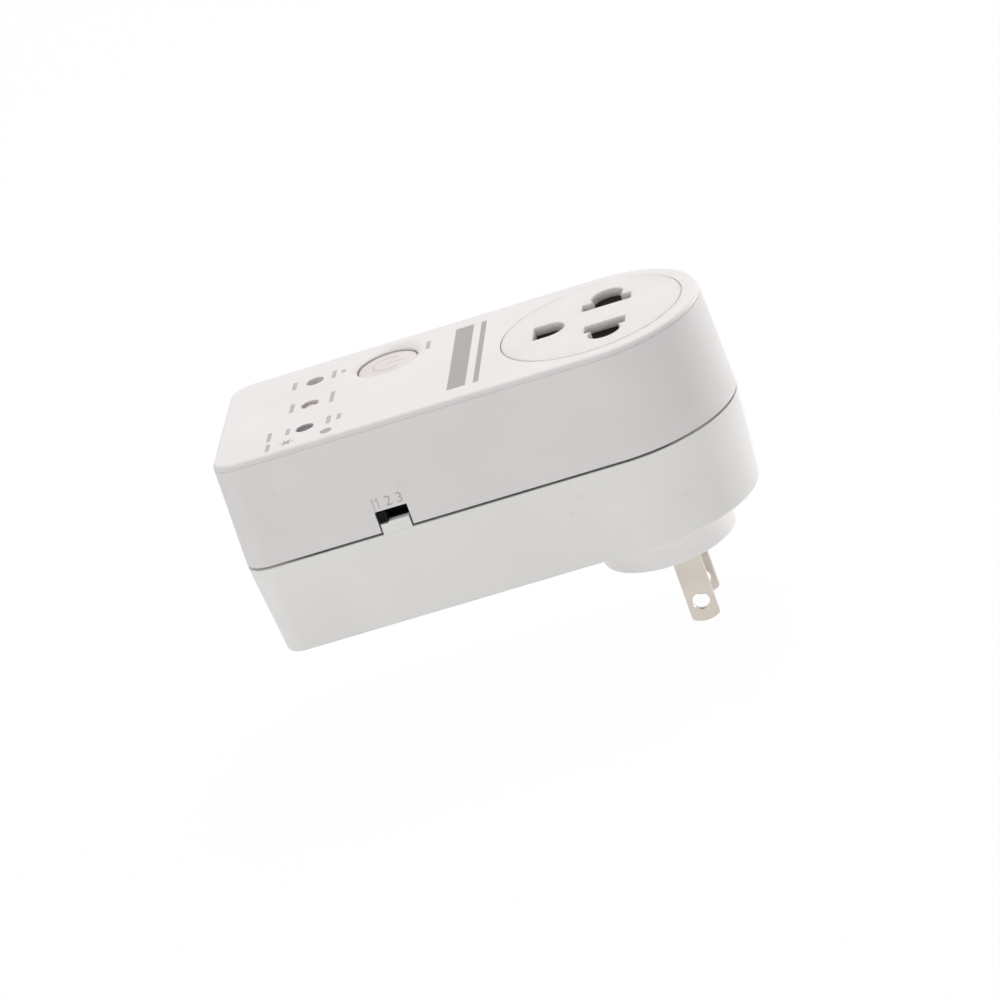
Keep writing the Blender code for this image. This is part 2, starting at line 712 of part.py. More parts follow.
def outlet_insert():
    under_face = Z_FACE_IN - SEAT_GAP
    flange_bottom = under_face - INSERT_FLANGE
    plate_bottom = Z_FACE - INSERT_PLATE
    inner = CARRIER_RADIUS + SEAT_GAP
    profile = [
        (0.0, Z_FACE),
        (INSERT_RADIUS - INSERT_EDGE, Z_FACE),
        (INSERT_RADIUS, Z_FACE - INSERT_EDGE),
        (INSERT_RADIUS, under_face),
        (FLANGE_RADIUS, under_face),
        (FLANGE_RADIUS, flange_bottom),
        (inner, flange_bottom),
        (inner, plate_bottom),
        (0.0, plate_bottom),
    ]
    insert = add_part("outlet_insert", turned(profile), WHITE_PLASTIC)
    low, high = plate_bottom - CUT_MARGIN, Z_FACE + CUT_MARGIN
    earth_middle = EARTH_TIP_X - EARTH_RADIUS
    straight = bmesh.new()
    put_box(straight, (EARTH_FLAT_X, -EARTH_RADIUS, low), (earth_middle, EARTH_RADIUS, high))
    for side, length in SLOTS:
        edges = sorted((side * SLOT_INNER, side * (SLOT_INNER + SLOT_WIDTH)))
        put_box(straight, (SLOT_X - length / 2, edges[0], low), (SLOT_X + length / 2, edges[1], high))
    cut(insert, straight)
    rounds = bmesh.new()
    put_rod(rounds, (earth_middle, 0.0), EARTH_RADIUS, low, high, ROUND_STEPS)
    for side in SIDES:
        middle = side * (SLOT_REACH - SLOT_ROUND_RADIUS)
        put_rod(rounds, (SLOT_X, middle), SLOT_ROUND_RADIUS, low, high, ROUND_STEPS)
    cut(insert, rounds)


def contact_carrier():
    bm = bmesh.new()
    put_rod(bm, (0.0, 0.0), CARRIER_RADIUS, Z_CARRIER_BOTTOM, Z_CARRIER_TOP, ROUND_STEPS)
    carrier = add_part("contact_carrier", closed_mesh(bm), BLACK_PLASTIC)
    top = Z_CARRIER_TOP + CUT_MARGIN
    wells = bmesh.new()
    put_box(
        wells,
        (EARTH_FLAT_X - WELL_ROOM, -EARTH_RADIUS - WELL_ROOM, Z_WELL_FLOOR),
        (EARTH_TIP_X + WELL_ROOM, EARTH_RADIUS + WELL_ROOM, top),
    )
    for side, length in SLOTS:
        edges = sorted((side * WELL_INNER, side * (SLOT_INNER + SLOT_WIDTH + WELL_ROOM)))
        reach = length / 2 + WELL_ROOM
        put_box(wells, (SLOT_X - reach, edges[0], Z_WELL_FLOOR), (SLOT_X + reach, edges[1], top))
    cut(carrier, wells)
    round_wells = bmesh.new()
    for side in SIDES:
        middle = (SLOT_X, side * (SLOT_REACH - SLOT_ROUND_RADIUS))
        put_rod(round_wells, middle, SLOT_ROUND_RADIUS + WELL_ROOM, Z_WELL_FLOOR, top, CAN_STEPS)
    cut(carrier, round_wells)
    tail_holes = bmesh.new()
    reach_x = TAIL_WIDTH / 2 + SEAT_GAP
    reach_y = TAIL_THICKNESS / 2 + SEAT_GAP
    for side in SIDES:
        y = side * OUTLET_PITCH / 2
        low = (SLOT_X - reach_x, y - reach_y, Z_CARRIER_BOTTOM - CUT_MARGIN)
        high = (SLOT_X + reach_x, y + reach_y, Z_WELL_FLOOR + CUT_MARGIN)
        put_box(tail_holes, low, high)
    cut(carrier, tail_holes)


def spring_clip(name, middle, width, grip, foot, flare):
    """A strip bent into two leaves that flare open at the top and grip just below."""
    half_strip = CONTACT_STRIP / 2
    leaf = [(flare, Z_CONTACT_TOP), (grip + half_strip, Z_CONTACT_TOP - CONTACT_THROAT)]
    leaf.append((foot, Z_CONTACT_FOOT + half_strip))
    profile = leaf + [(-y, z) for y, z in leaf[::-1]]
    bm = bmesh.new()
    line = [bm.verts.new((-width / 2, y, z)) for y, z in profile]
    edges = [bm.edges.new(pair) for pair in zip(line, line[1:])]
    swept = bmesh.ops.extrude_edge_only(bm, edges=edges)["geom"]
    far_side = [item for item in swept if isinstance(item, bmesh.types.BMVert)]
    bmesh.ops.translate(bm, verts=far_side, vec=(width, 0.0, 0.0))
    bmesh.ops.translate(bm, verts=bm.verts, vec=(*middle, 0.0))
    clip = add_part(name, closed_mesh(bm), BRASS)
    strip = clip.modifiers.new("Solidify", "SOLIDIFY")
    strip.thickness = CONTACT_STRIP
    strip.offset = 0.0
    strip.use_even_offset = True
    return clip


def blade_contact(name, side):
    middle = (SLOT_X, side * OUTLET_PITCH / 2)
    clip = spring_clip(name, middle, CONTACT_WIDTH, CONTACT_GRIP, CONTACT_FOOT, CONTACT_FLARE)
    tail = bmesh.new()
    put_box(
        tail,
        (middle[0] - TAIL_WIDTH / 2, middle[1] - TAIL_THICKNESS / 2, Z_TAIL_END),
        (middle[0] + TAIL_WIDTH / 2, middle[1] + TAIL_THICKNESS / 2, Z_CONTACT_FOOT + CONTACT_STRIP / 2),
    )
    join(clip, tail)


def earth_contact():
    middle = ((EARTH_FLAT_X + EARTH_TIP_X) / 2, 0.0)
    spring_clip("earth_contact", middle, EARTH_CONTACT_WIDTH, EARTH_GRIP, EARTH_FOOT, EARTH_FLARE)


# Plug


def plug_base():
    flange_radius = PLUG_RADIUS + PLUG_FLANGE_WIDTH
    profile = [
        (0.0, Z_PLUG_TOP),
        (flange_radius, Z_PLUG_TOP),
        (flange_radius, Z_PLUG_FLANGE),
        (PLUG_RADIUS, Z_PLUG_FLANGE),
        (PLUG_RADIUS, PLUG_EDGE),
        (PLUG_RADIUS - PLUG_EDGE, 0.0),
        (0.0, 0.0),
    ]
    base = add_part("plug_base", turned(profile), WHITE_PLASTIC)
    slots = bmesh.new()
    pockets = bmesh.new()
    half_thick = BLADE_THICKNESS / 2 + SEAT_GAP
    for side in SIDES:
        y = side * BLADE_PITCH / 2
        reach = BLADE_WIDTH / 2 + SEAT_GAP
        low = (BLADE_X - reach, y - half_thick, -CUT_MARGIN)
        put_box(slots, low, (BLADE_X + reach, y + half_thick, Z_PLUG_TOP + CUT_MARGIN))
        reach = SHOULDER_WIDTH / 2 + SEAT_GAP
        low = (BLADE_X - reach, y - half_thick, Z_SHOULDER_BOTTOM - SEAT_GAP)
        put_box(pockets, low, (BLADE_X + reach, y + half_thick, Z_PLUG_TOP + CUT_MARGIN))
    for place in RETAINER_SCREWS:
        bottom = Z_PLUG_TOP - RETAINER_SCREW_BITE - CUT_MARGIN
        put_rod(slots, place, RETAINER_SHANK_RADIUS + THREAD_GAP, bottom, Z_PLUG_TOP + CUT_MARGIN)
    cut(base, slots)
    cut(base, pockets)


def blade(name, side):
    half = BLADE_WIDTH / 2
    tip_radius = (half ** 2 + BLADE_TIP_RISE ** 2) / (2 * BLADE_TIP_RISE)
    tip_angle = math.degrees(math.asin(half / tip_radius))
    outline = arc((0.0, tip_radius - BLADE_LENGTH), tip_radius, 270 - tip_angle, 270 + tip_angle, TIP_STEPS)
    steps_up = [
        (half, Z_SHOULDER_BOTTOM),
        (SHOULDER_WIDTH / 2, Z_SHOULDER_BOTTOM),
        (SHOULDER_WIDTH / 2, Z_SHOULDER_TOP),
        (BLADE_TAB_WIDTH / 2, Z_SHOULDER_TOP),
        (BLADE_TAB_WIDTH / 2, Z_TAB_TOP),
    ]
    outline += steps_up + [(-x, z) for x, z in steps_up[::-1]]
    hole = arc((0.0, -BLADE_HOLE_DROP), BLADE_HOLE_RADIUS, 0, 360, CAN_STEPS)[:-1]
    flat_piece(name, [outline, hole], BLADE_THICKNESS, NICKEL, (BLADE_X, side * BLADE_PITCH / 2, 0.0))


def blade_retainer():
    half_length = RETAINER_SCREW_PITCH / 2 + RETAINER_HEAD_RADIUS + RETAINER_EDGE
    low = (BLADE_X - half_length, -RETAINER_WIDTH / 2, Z_RETAINER)
    high = (BLADE_X + half_length, RETAINER_WIDTH / 2, Z_RETAINER_TOP)
    plate = add_part("blade_retainer", box(low, high), INSULATION)
    holes = bmesh.new()
    bottom, top = Z_RETAINER - CUT_MARGIN, Z_RETAINER_TOP + CUT_MARGIN
    reach_x = BLADE_TAB_WIDTH / 2 + SEAT_GAP
    reach_y = BLADE_THICKNESS / 2 + SEAT_GAP
    for side in SIDES:
        y = side * BLADE_PITCH / 2
        put_box(holes, (BLADE_X - reach_x, y - reach_y, bottom), (BLADE_X + reach_x, y + reach_y, top))
    for place in RETAINER_SCREWS:
        put_rod(holes, place, RETAINER_SHANK_RADIUS + SEAT_GAP, bottom, top)
    cut(plate, holes)


# Delay switch


def delay_switch():
    front = WALL + SWITCH_WALL_ROOM - BODY_WIDTH / 2
    half_height = SWITCH_HEIGHT / 2
    low = (WINDOW_X - SWITCH_LENGTH / 2, front, Z_KNOB - half_height)
    high = (WINDOW_X + SWITCH_LENGTH / 2, front + SWITCH_DEPTH, Z_KNOB + half_height)
    body = add_part("delay_switch_body", box(low, high), BLACK_PLASTIC)
    slot = bmesh.new()
    reach_z = KNOB_HEIGHT / 2 + SLIDE_GAP
    low = (WINDOW_X - WINDOW_WIDTH / 2, front - CUT_MARGIN, Z_KNOB - reach_z)
    high = (WINDOW_X + WINDOW_WIDTH / 2, front + KNOB_ROOT + SEAT_GAP, Z_KNOB + reach_z)
    put_box(slot, low, high)
    cut(body, slot)

    knob_x = WINDOW_X - WINDOW_WIDTH / 2 + SLIDE_GAP + KNOB_WIDTH / 2
    knob_front = KNOB_RECESS - BODY_WIDTH / 2
    depth = front + KNOB_ROOT - knob_front
    half_size = (KNOB_WIDTH / 2, depth / 2, KNOB_HEIGHT / 2)
    mesh = box([-half for half in half_size], half_size)
    knob = add_part("delay_switch_knob", mesh, BLACK_PLASTIC, (knob_x, knob_front + depth / 2, Z_KNOB))
    soften(knob, KNOB_EDGE)


# Power button and tact switch


def power_button():
    top = Z_FACE - BUTTON_RECESS
    flange_top = Z_FACE_IN - SEAT_GAP
    edge = BUTTON_RADIUS - BUTTON_EDGE
    crown = [(edge * share, top + BUTTON_CROWN * (1 - share ** 2)) for share in BUTTON_CROWN_SHARES]
    profile = [
        *crown,
        (BUTTON_RADIUS, top - BUTTON_EDGE),
        (BUTTON_RADIUS, flange_top),
        (BUTTON_RADIUS + BUTTON_FLANGE_WIDTH, flange_top),
        (BUTTON_RADIUS + BUTTON_FLANGE_WIDTH, flange_top - BUTTON_FLANGE),
        (BUTTON_STEM_RADIUS, flange_top - BUTTON_FLANGE),
        (BUTTON_STEM_RADIUS, Z_PLUNGER_TOP + SEAT_GAP),
        (0.0, Z_PLUNGER_TOP + SEAT_GAP),
    ]
    add_part("power_button", turned(profile), BUTTON_PLASTIC, (BUTTON_X, BUTTON_Y, 0.0))


def tact_switch():
    half = TACT_WIDTH / 2
    top = Z_ON_BOARD + TACT_HEIGHT
    low = (BUTTON_X - half, BUTTON_Y - half, Z_ON_BOARD)
    body = add_part("tact_switch_body", box(low, (BUTTON_X + half, BUTTON_Y + half, top)), BLACK_PLASTIC)
    well = bmesh.new()
    well_radius = TACT_PLUNGER_RADIUS + SLIDE_GAP
    put_rod(well, (BUTTON_X, BUTTON_Y), well_radius, top - TACT_WELL, top + CUT_MARGIN)
    cut(body, well)
    bm = bmesh.new()
    put_rod(bm, (0.0, 0.0), TACT_PLUNGER_RADIUS, top - TACT_PLUNGER_ROOT, Z_PLUNGER_TOP)
    add_part("tact_switch_plunger", closed_mesh(bm), BLACK_PLASTIC, (BUTTON_X, BUTTON_Y, 0.0))


# Status lights


def status_leds():
    dome_z = Z_LED_TOP - LED_RADIUS
    dome = [(x, dome_z + z) for x, z in arc((0.0, 0.0), LED_RADIUS, 90, 0, DOME_STEPS)]
    rim = [
        (LED_RADIUS, Z_LED_BOTTOM + LED_RIM_HEIGHT),
        (LED_RIM_RADIUS, Z_LED_BOTTOM + LED_RIM_HEIGHT),
        (LED_RIM_RADIUS, Z_LED_BOTTOM),
        (0.0, Z_LED_BOTTOM),
    ]
    lamp = add_guide("lamp", turned([(0.0, Z_LED_TOP), *dome[1:], *rim], SMALL_STEPS))
    leads = bmesh.new()
    for side in SIDES:
        place = (side * LED_LEAD_PITCH / 2, 0.0)
        put_rod(leads, place, LED_LEAD_RADIUS, Z_ON_BOARD, Z_LED_BOTTOM + LED_RIM_HEIGHT / 2, LEAD_STEPS)
    join(lamp, leads)
    lamp_mesh = baked(lamp)
    tube = [
        (LED_SPACER_BORE, Z_SPACER_TOP),
        (LED_RIM_RADIUS, Z_SPACER_TOP),
        (LED_RIM_RADIUS, Z_ON_BOARD),
        (LED_SPACER_BORE, Z_ON_BOARD),
        (LED_SPACER_BORE, Z_SPACER_TOP),
    ]
    tube_mesh = turned(tube, SMALL_STEPS)
    for number, y in enumerate(LED_Y, 1):
        add_part(f"status_led_{number}", lamp_mesh, CLEAR_LENS, (LED_X, y, 0.0))
        add_part(f"led_spacer_{number}", tube_mesh, BLACK_PLASTIC, (LED_X, y, 0.0))


# Circuit board and what stands on it


def main_board():
    low = (BOARD_X, -BOARD_Y, Z_BOARD_BOTTOM)
    board = add_part("main_board", box(low, (BOARD_END_X, BOARD_Y, Z_BOARD_TOP)), LAMINATE)
    holes = bmesh.new()
    for place in BOARD_POSTS:
        radius = BOARD_SHANK_RADIUS + SEAT_GAP
        put_rod(holes, place, radius, Z_BOARD_BOTTOM - CUT_MARGIN, Z_BOARD_TOP + CUT_MARGIN)
    cut(board, holes)


def on_board(shares):
    return (BOARD_X + shares[0] * BOARD_LENGTH, shares[1] * BOARD_Y)


def block(name, footprint, height, at, finish):
    x, y = on_board(at)
    half_x, half_y = footprint[0] * BOARD_LENGTH / 2, footprint[1] * BOARD_Y / 2
    mesh = box((x - half_x, y - half_y, Z_ON_BOARD), (x + half_x, y + half_y, Z_ON_BOARD + height))
    soften(add_part(name, mesh, finish), PART_EDGE)


def can(name, radius, height, at, finish):
    top = Z_ON_BOARD + height
    profile = [
        (0.0, top),
        (radius - CAN_EDGE, top),
        (radius, top - CAN_EDGE),
        (radius, Z_ON_BOARD),
        (0.0, Z_ON_BOARD),
    ]
    add_part(name, turned(profile, CAN_STEPS), finish, (*on_board(at), 0.0))


def lying_part(name, radius, length, at, finish):
    bm = bmesh.new()
    put_lying_rod(bm, (*on_board(at), Z_ON_BOARD + radius), radius, length)
    soften(add_part(name, closed_mesh(bm), finish), PART_EDGE, 1)


def board_parts():
    block("relay", RELAY_FOOTPRINT, RELAY_HEIGHT, RELAY_AT, RELAY_BLUE)
    block("film_capacitor", FILM_FOOTPRINT, FILM_HEIGHT, FILM_AT, FILM_YELLOW)
    block("controller_chip", CHIP_FOOTPRINT, CHIP_HEIGHT, CHIP_AT, BLACK_PLASTIC)
    block("bridge_rectifier", BRIDGE_FOOTPRINT, BRIDGE_HEIGHT, BRIDGE_AT, BLACK_PLASTIC)
    block("voltage_regulator", REGULATOR_FOOTPRINT, REGULATOR_HEIGHT, REGULATOR_AT, BLACK_PLASTIC)
    block("relay_driver", REGULATOR_FOOTPRINT, REGULATOR_HEIGHT, DRIVER_AT, BLACK_PLASTIC)
    can("storage_capacitor", STORAGE_SHARE * BOARD_SHORT_SIDE, STORAGE_HEIGHT, STORAGE_AT, CAN_SLEEVE)
    can("filter_capacitor", FILTER_SHARE * BOARD_SHORT_SIDE, FILTER_HEIGHT, FILTER_AT, CAN_SLEEVE)
    can("fuse", FUSE_SHARE * BOARD_SHORT_SIDE, FUSE_HEIGHT, FUSE_AT, FUSE_BODY)
    disc_radius = VARISTOR_SHARE * BOARD_SHORT_SIDE
    lying_part("varistor", disc_radius, VARISTOR_THICKNESS, VARISTOR_AT, VARISTOR_BLUE)
    resistor_radius = RESISTOR_SHARE * BOARD_SHORT_SIDE
    lying_part("dropper_resistor", resistor_radius, RESISTOR_LENGTH, DROPPER_AT, RESISTOR_TAN)
    lying_part("bleeder_resistor", resistor_radius, RESISTOR_LENGTH, BLEEDER_AT, RESISTOR_TAN)


# Wires


def wires():
    blade_y = BLADE_PITCH / 2
    contact_y = OUTLET_PITCH / 2
    above_tab = Z_TAB_TOP + SEAT_GAP
    below_tail = Z_TAIL_END - SEAT_GAP
    land_x = BOARD_END_X - WIRE_LAND_FROM_OUTLET
    land_z = Z_BOARD_BOTTOM - SEAT_GAP
    level = land_z - WIRE_LEVEL

    def landing(y):
        """The last stretch of a wire, which turns up to the underside of the board at y."""
        turn = (land_x + WIRE_LEAN, y, land_z - 2 * WIRE_STUB)
        return [(land_x + WIRE_TURN, y, level), turn, (land_x, y, land_z - WIRE_STUB), (land_x, y, land_z)]

    line_route = [
        (BLADE_X, -blade_y, above_tab),
        (BLADE_X, -blade_y, above_tab + WIRE_STUB),
        (BLADE_X - WIRE_TURN, LINE_WIRE_Y[0], level),
        (WIRE_UNDER_X, LINE_WIRE_Y[1], level),
        *landing(LINE_WIRE_Y[2]),
    ]
    load_route = [
        (SLOT_X, -contact_y, below_tail),
        (SLOT_X, -contact_y, below_tail - WIRE_STUB),
        (SLOT_X - WIRE_TURN, LOAD_WIRE_Y[0], level + LOAD_WIRE_LIFT),
        (WIRE_UNDER_X, LOAD_WIRE_Y[1], level),
        *landing(LOAD_WIRE_Y[2]),
    ]
    neutral_route = [
        (BLADE_X, blade_y, above_tab),
        (BLADE_X, blade_y, above_tab + WIRE_STUB),
        (SLOT_X, contact_y, below_tail - WIRE_STUB),
        (SLOT_X, contact_y, below_tail),
    ]
    feed_x = BLADE_X - BLADE_TAB_WIDTH / 2 - SEAT_GAP
    feed_z = Z_TAB_TOP - 2 * FEED_WIRE_RADIUS
    feed_route = [
        (feed_x, blade_y, feed_z),
        (feed_x - WIRE_STUB, blade_y, feed_z),
        (WIRE_UNDER_X, FEED_WIRE_Y[0], level - FEED_WIRE_DIP),
        *landing(FEED_WIRE_Y[1]),
    ]
    wire("line_wire", line_route, MAINS_WIRE_RADIUS, BLACK_WIRE)
    wire("load_wire", load_route, MAINS_WIRE_RADIUS, RED_WIRE)
    wire("neutral_wire", neutral_route, MAINS_WIRE_RADIUS, WHITE_WIRE)
    wire("neutral_feed_wire", feed_route, FEED_WIRE_RADIUS, WHITE_WIRE)


front_cover()
back_cover()
case_screws()
outlet_insert()
contact_carrier()
for contact_name, contact_side in zip(("neutral_contact", "line_contact"), SIDES):
    blade_contact(contact_name, contact_side)
earth_contact()
plug_base()
for blade_name, blade_side in zip(("neutral_blade", "line_blade"), SIDES):
    blade(blade_name, blade_side)
blade_retainer()
retainer_screws()
delay_switch()
power_button()
tact_switch()
status_leds()
main_board()
board_screws()
board_parts()
wires()
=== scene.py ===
"""The looks of a plug-in voltage protector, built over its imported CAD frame, in metres.

The frame's origin is the middle of the plug boss's flat face. +Z points out of the wall towards the
outlet face, and +X points from the status lights towards the outlet.
"""
import json
import math

import bmesh
import bpy
from mathutils import Matrix, Vector


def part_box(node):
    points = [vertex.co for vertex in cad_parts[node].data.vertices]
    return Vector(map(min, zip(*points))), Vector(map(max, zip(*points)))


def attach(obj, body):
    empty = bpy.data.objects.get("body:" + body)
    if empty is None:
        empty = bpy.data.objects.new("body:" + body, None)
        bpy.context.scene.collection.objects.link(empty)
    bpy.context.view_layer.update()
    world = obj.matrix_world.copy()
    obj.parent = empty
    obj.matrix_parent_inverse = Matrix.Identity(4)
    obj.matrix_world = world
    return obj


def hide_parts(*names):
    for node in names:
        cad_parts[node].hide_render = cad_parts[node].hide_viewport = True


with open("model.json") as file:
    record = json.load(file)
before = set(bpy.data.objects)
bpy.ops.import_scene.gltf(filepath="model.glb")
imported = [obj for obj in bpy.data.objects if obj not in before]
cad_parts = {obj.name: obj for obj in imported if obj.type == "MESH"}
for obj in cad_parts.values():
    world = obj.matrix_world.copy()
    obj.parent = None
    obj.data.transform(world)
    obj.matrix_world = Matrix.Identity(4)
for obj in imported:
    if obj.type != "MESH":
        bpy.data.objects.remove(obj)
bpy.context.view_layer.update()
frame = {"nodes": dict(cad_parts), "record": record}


def middle(node):
    low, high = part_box(node)
    return (low + high) / 2


# Case
FACE_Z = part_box("front_cover")[1].z
BACK_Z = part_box("back_cover")[0].z
PART_Z = 0.0305
HALF_WIDTH = 0.0253
LIGHT_END_X = -0.0867
FRONT_DRAFT = 0.0008
BACK_DRAFT = 0.0018
CORNER_RADIUS = 0.0060
LEAST_CORNER = 0.0008
FACE_FILLET = 0.0011
CREASE = (0.0004, 0.00018)
BACK_FILLET = 0.0010
WALL = 0.0022
PARTING_GAP = 0.0006
LIP_WIDTH = 0.0006
LIP_HEIGHT = 0.0020
SEAT_GAP = 0.0003
HOLE_EDGE = 0.0002
SHARP_EDGE = 0.0001

# Posts and screw holes of the case
CASE_POSTS = [middle(f"case_screw_{n}").to_2d() for n in (1, 2, 3, 4)]
BOARD_POSTS = [middle(f"board_screw_{n}").to_2d() for n in (1, 2, 3, 4)]
FRONT_POST_RADIUS = 0.0034
BACK_POST_RADIUS = 0.0041
BOARD_POST_RADIUS = 0.0026
BOARD_TOP_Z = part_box("main_board")[1].z
CASE_PILOT_RADIUS = 0.0015
CASE_PILOT_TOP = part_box("case_screw_1")[1].z + 0.0005
BOARD_PILOT_RADIUS = 0.0012
BOARD_PILOT_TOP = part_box("board_screw_1")[1].z + 0.0005
SHANK_HOLE_RADIUS = 0.0017
COUNTERBORE_RADIUS = 0.0031
COUNTERBORE_TOP = 0.02785
PILLAR_RADIUS = 0.0016
PILLAR_AT = 0.0133
PILLAR_TOP = 0.0368

# Face
LED_HOLE_RADIUS = 0.00205
LED_RADIUS = 0.0015
LED_DOME = 0.0003
LED_RIM_RADIUS = 0.0019
LED_RIM_HEIGHT = 0.0010
LED_BASE = 0.0063
LED_RECESS = (0.0013, 0.0005, 0.0003)
LED_LEAD_RADIUS = 0.00025
LED_LEAD_AT = 0.000635
BUTTON_AT = middle("power_button").to_2d()
BUTTON_RADIUS = 0.0070
BUTTON_GAP = 0.0002
BUTTON_RECESS = 0.0013
BUTTON_CROWN = 0.0003
BUTTON_EDGE = 0.0005
BUTTON_FLANGE = 0.0014
BUTTON_STEM_RADIUS = 0.0020
DISH_RADIUS = 0.0096
DISH_DEPTH = 0.0010

# Outlet
INSERT_RADIUS = 0.0206
INSERT_GAP = 0.00025
INSERT_RISE = 0.0001
GROOVE_DEPTH = 0.0003
SNUG_GAP = 0.00005
INSERT_PLATE = 0.0020
INSERT_FLANGE = 0.0018
FLANGE_RADIUS = 0.0220
CARRIER_RADIUS = 0.0186
SLOT_X = 0.0034
SLOT_INNER = 0.0048
SLOT_WIDTH = 0.0044
SLOT_LENGTHS = (0.0112, 0.0094)
SLOT_ROUND_RADIUS = 0.0037
SLOT_REACH = 0.0149
EARTH_FLAT_X = -0.0132
EARTH_TIP_X = -0.0060
EARTH_RADIUS = 0.0040
SLOT_CORNER = 0.0003

# Plug
PLUG_RADIUS = 0.0154
PLUG_EDGE = 0.0009
PLUG_FLANGE_RADIUS = 0.0169
PLUG_FLANGE_Z = 0.0112
PLUG_TOP_Z = 0.0132
BLADE_WIDTH = 0.00635
BLADE_THICKNESS = 0.0015
BLADE_TIPS = {"line": -0.0178, "neutral": -0.0169}
BLADE_TIP_RISE = 0.0010
BLADE_TIP_CORNER = 0.0003
BLADE_EDGE = 0.0002
BLADE_HOLE_RADIUS = 0.00198
BLADE_HOLE_Z = -0.0130
SHOULDER_WIDTH = 0.0086
SHOULDER_Z = (0.0110, 0.0132)
BLADE_TAB_WIDTH = 0.0048
BLADE_TAB_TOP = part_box("line_blade")[1].z

# Delay switch
WINDOW_X = middle("delay_switch_body").x
WINDOW_WIDTH = 0.0073
WINDOW_TOP = 0.0357
TAB_TOP = 0.0329
TAB_GAPS = (0.0003, 0.0004)
TAB_NOTCH = (0.0018, 0.0003)
TAB_THICKNESS = 0.0017
TAB_INSET = 0.0001
TAB_ROOT = 0.0008
RIDGES = 3
RIDGE_DEPTH = 0.00025
KNOB_EDGE = 0.0002

# Marks
PRINT_DEPTH = 0.00006
PRINT_RISE = 0.00002
DIGIT_HEIGHT = 0.0023
DIGIT_LINE = 0.00022
FLAG = (0.0005, 0.0005)
DIGIT_SPOTS = (-0.0536, -0.0513, -0.0487)
DIGIT_Z = 0.03758
EDGE_LINE = (-0.0547, 0.0361, 0.0002, 0.0029)
BAR_WIDTH = 0.0010
BARS = [
    (-0.0698, 0.0135, 0.0044), (-0.0605, 0.0137, 0.0044), (-0.0583, 0.0139, 0.0016),
    (-0.0692, -0.0003, 0.0050), (-0.0598, -0.0004, 0.0062),
    (-0.0689, -0.0144, 0.0036), (-0.0595, -0.0142, 0.0042), (-0.0571, -0.0141, 0.0032),
    (-0.0732, -0.0144, 0.0050), (-0.0730, -0.0207, 0.0042), (-0.0384, 0.0140, 0.0046),
]
DOT = (-0.0596, -0.02065, 0.00135)
STAR = (-0.0687, -0.0206, 0.0019, 0.0006)
STRIPES = [(-0.0300, 0.0042), (-0.0255, 0.0012)]
STRIPE_LENGTH = 0.0370
SYMBOL_RADIUS = 0.0034
SYMBOL_LINE = 0.0005
SYMBOL_OPENING = 40
SYMBOL_BAR = (-0.0003, 0.0041)

# Fineness of round shapes
ROUND = 96
HALF_ROUND = 72
SMALL_ROUND = 40
CORNER = 14
FILLET = 8
EDGE = 4
DISH_STEPS = 12
SHARP_ANGLE = math.radians(38.0)
MARGIN = 0.0010


# Meshes


def solid(bm):
    """A mesh from a closed bmesh, with its faces turned outwards."""
    bmesh.ops.recalc_face_normals(bm, faces=bm.faces)
    mesh = bpy.data.meshes.new("solid")
    bm.to_mesh(mesh)
    bm.free()
    return mesh


def arc(centre, radius, start, end, steps):
    """Points on an arc from one angle to another, in degrees, both ends included."""
    turns = [math.radians(start + (end - start) * i / steps) for i in range(steps + 1)]
    return [(centre[0] + radius * math.cos(a), centre[1] + radius * math.sin(a)) for a in turns]


def loft(rings):
    """A closed mesh through rings of points that run the same way, capped at both ends."""
    bm = bmesh.new()
    loops = [[bm.verts.new(point) for point in ring] for ring in rings]
    for first, second in zip(loops, loops[1:]):
        for i in range(len(first)):
            bm.faces.new((first[i - 1], first[i], second[i], second[i - 1]))
    for end in (loops[0], loops[-1]):
        bm.faces.new(end)
    return solid(bm)


def grown(outline, by):
    """An outline that runs anticlockwise, moved outwards by a distance, corners kept."""
    moved = []
    for i, (x, y) in enumerate(outline):
        before = Vector((x, y)) - Vector(outline[i - 1])
        after = Vector(outline[(i + 1) % len(outline)]) - Vector((x, y))
        sides = [Vector((d.y, -d.x)).normalized() for d in (before, after)]
        lean = sides[0] + sides[1]
        moved.append(Vector((x, y)) + lean * (2 * by / lean.length_squared))
    return moved


def prism(outline, levels):
    """A closed mesh through an outline in X and Y, at levels of growth and height."""
    return loft([[(x, y, z) for x, y in grown(outline, by)] for by, z in levels])


def turned(profile, steps=ROUND, centre=(0.0, 0.0)):
    """A closed mesh about a line along Z, from a profile of radius and height that ends on that line."""
    bm = bmesh.new()
    tips = [bm.verts.new((*centre, profile[i][1])) for i in (0, -1)]
    turns = [2 * math.pi * i / steps for i in range(steps)]
    rings = []
    for radius, z in profile[1:-1]:
        spots = [(centre[0] + radius * math.cos(a), centre[1] + radius * math.sin(a), z) for a in turns]
        rings.append([bm.verts.new(spot) for spot in spots])
    for first, second in zip(rings, rings[1:]):
        for i in range(steps):
            bm.faces.new((first[i - 1], first[i], second[i], second[i - 1]))
    for tip, ring in zip(tips, (rings[0], rings[-1])):
        for i in range(steps):
            bm.faces.new((ring[i - 1], ring[i], tip))
    return solid(bm)


def rod(place, radius, low, high, steps=SMALL_ROUND):
    return turned([(0.0, low), (radius, low), (radius, high), (0.0, high)], steps, place)


def flare(radius, edge, face, out):
    """Profile of a hole's rounded edge at a face, with out 1 for a face that looks up and -1 for down."""
    turns = [math.radians(90 * i / EDGE) for i in range(EDGE + 1)]
    return [(radius + edge * (1 - math.cos(a)), face - out * edge * (1 - math.sin(a))) for a in turns]


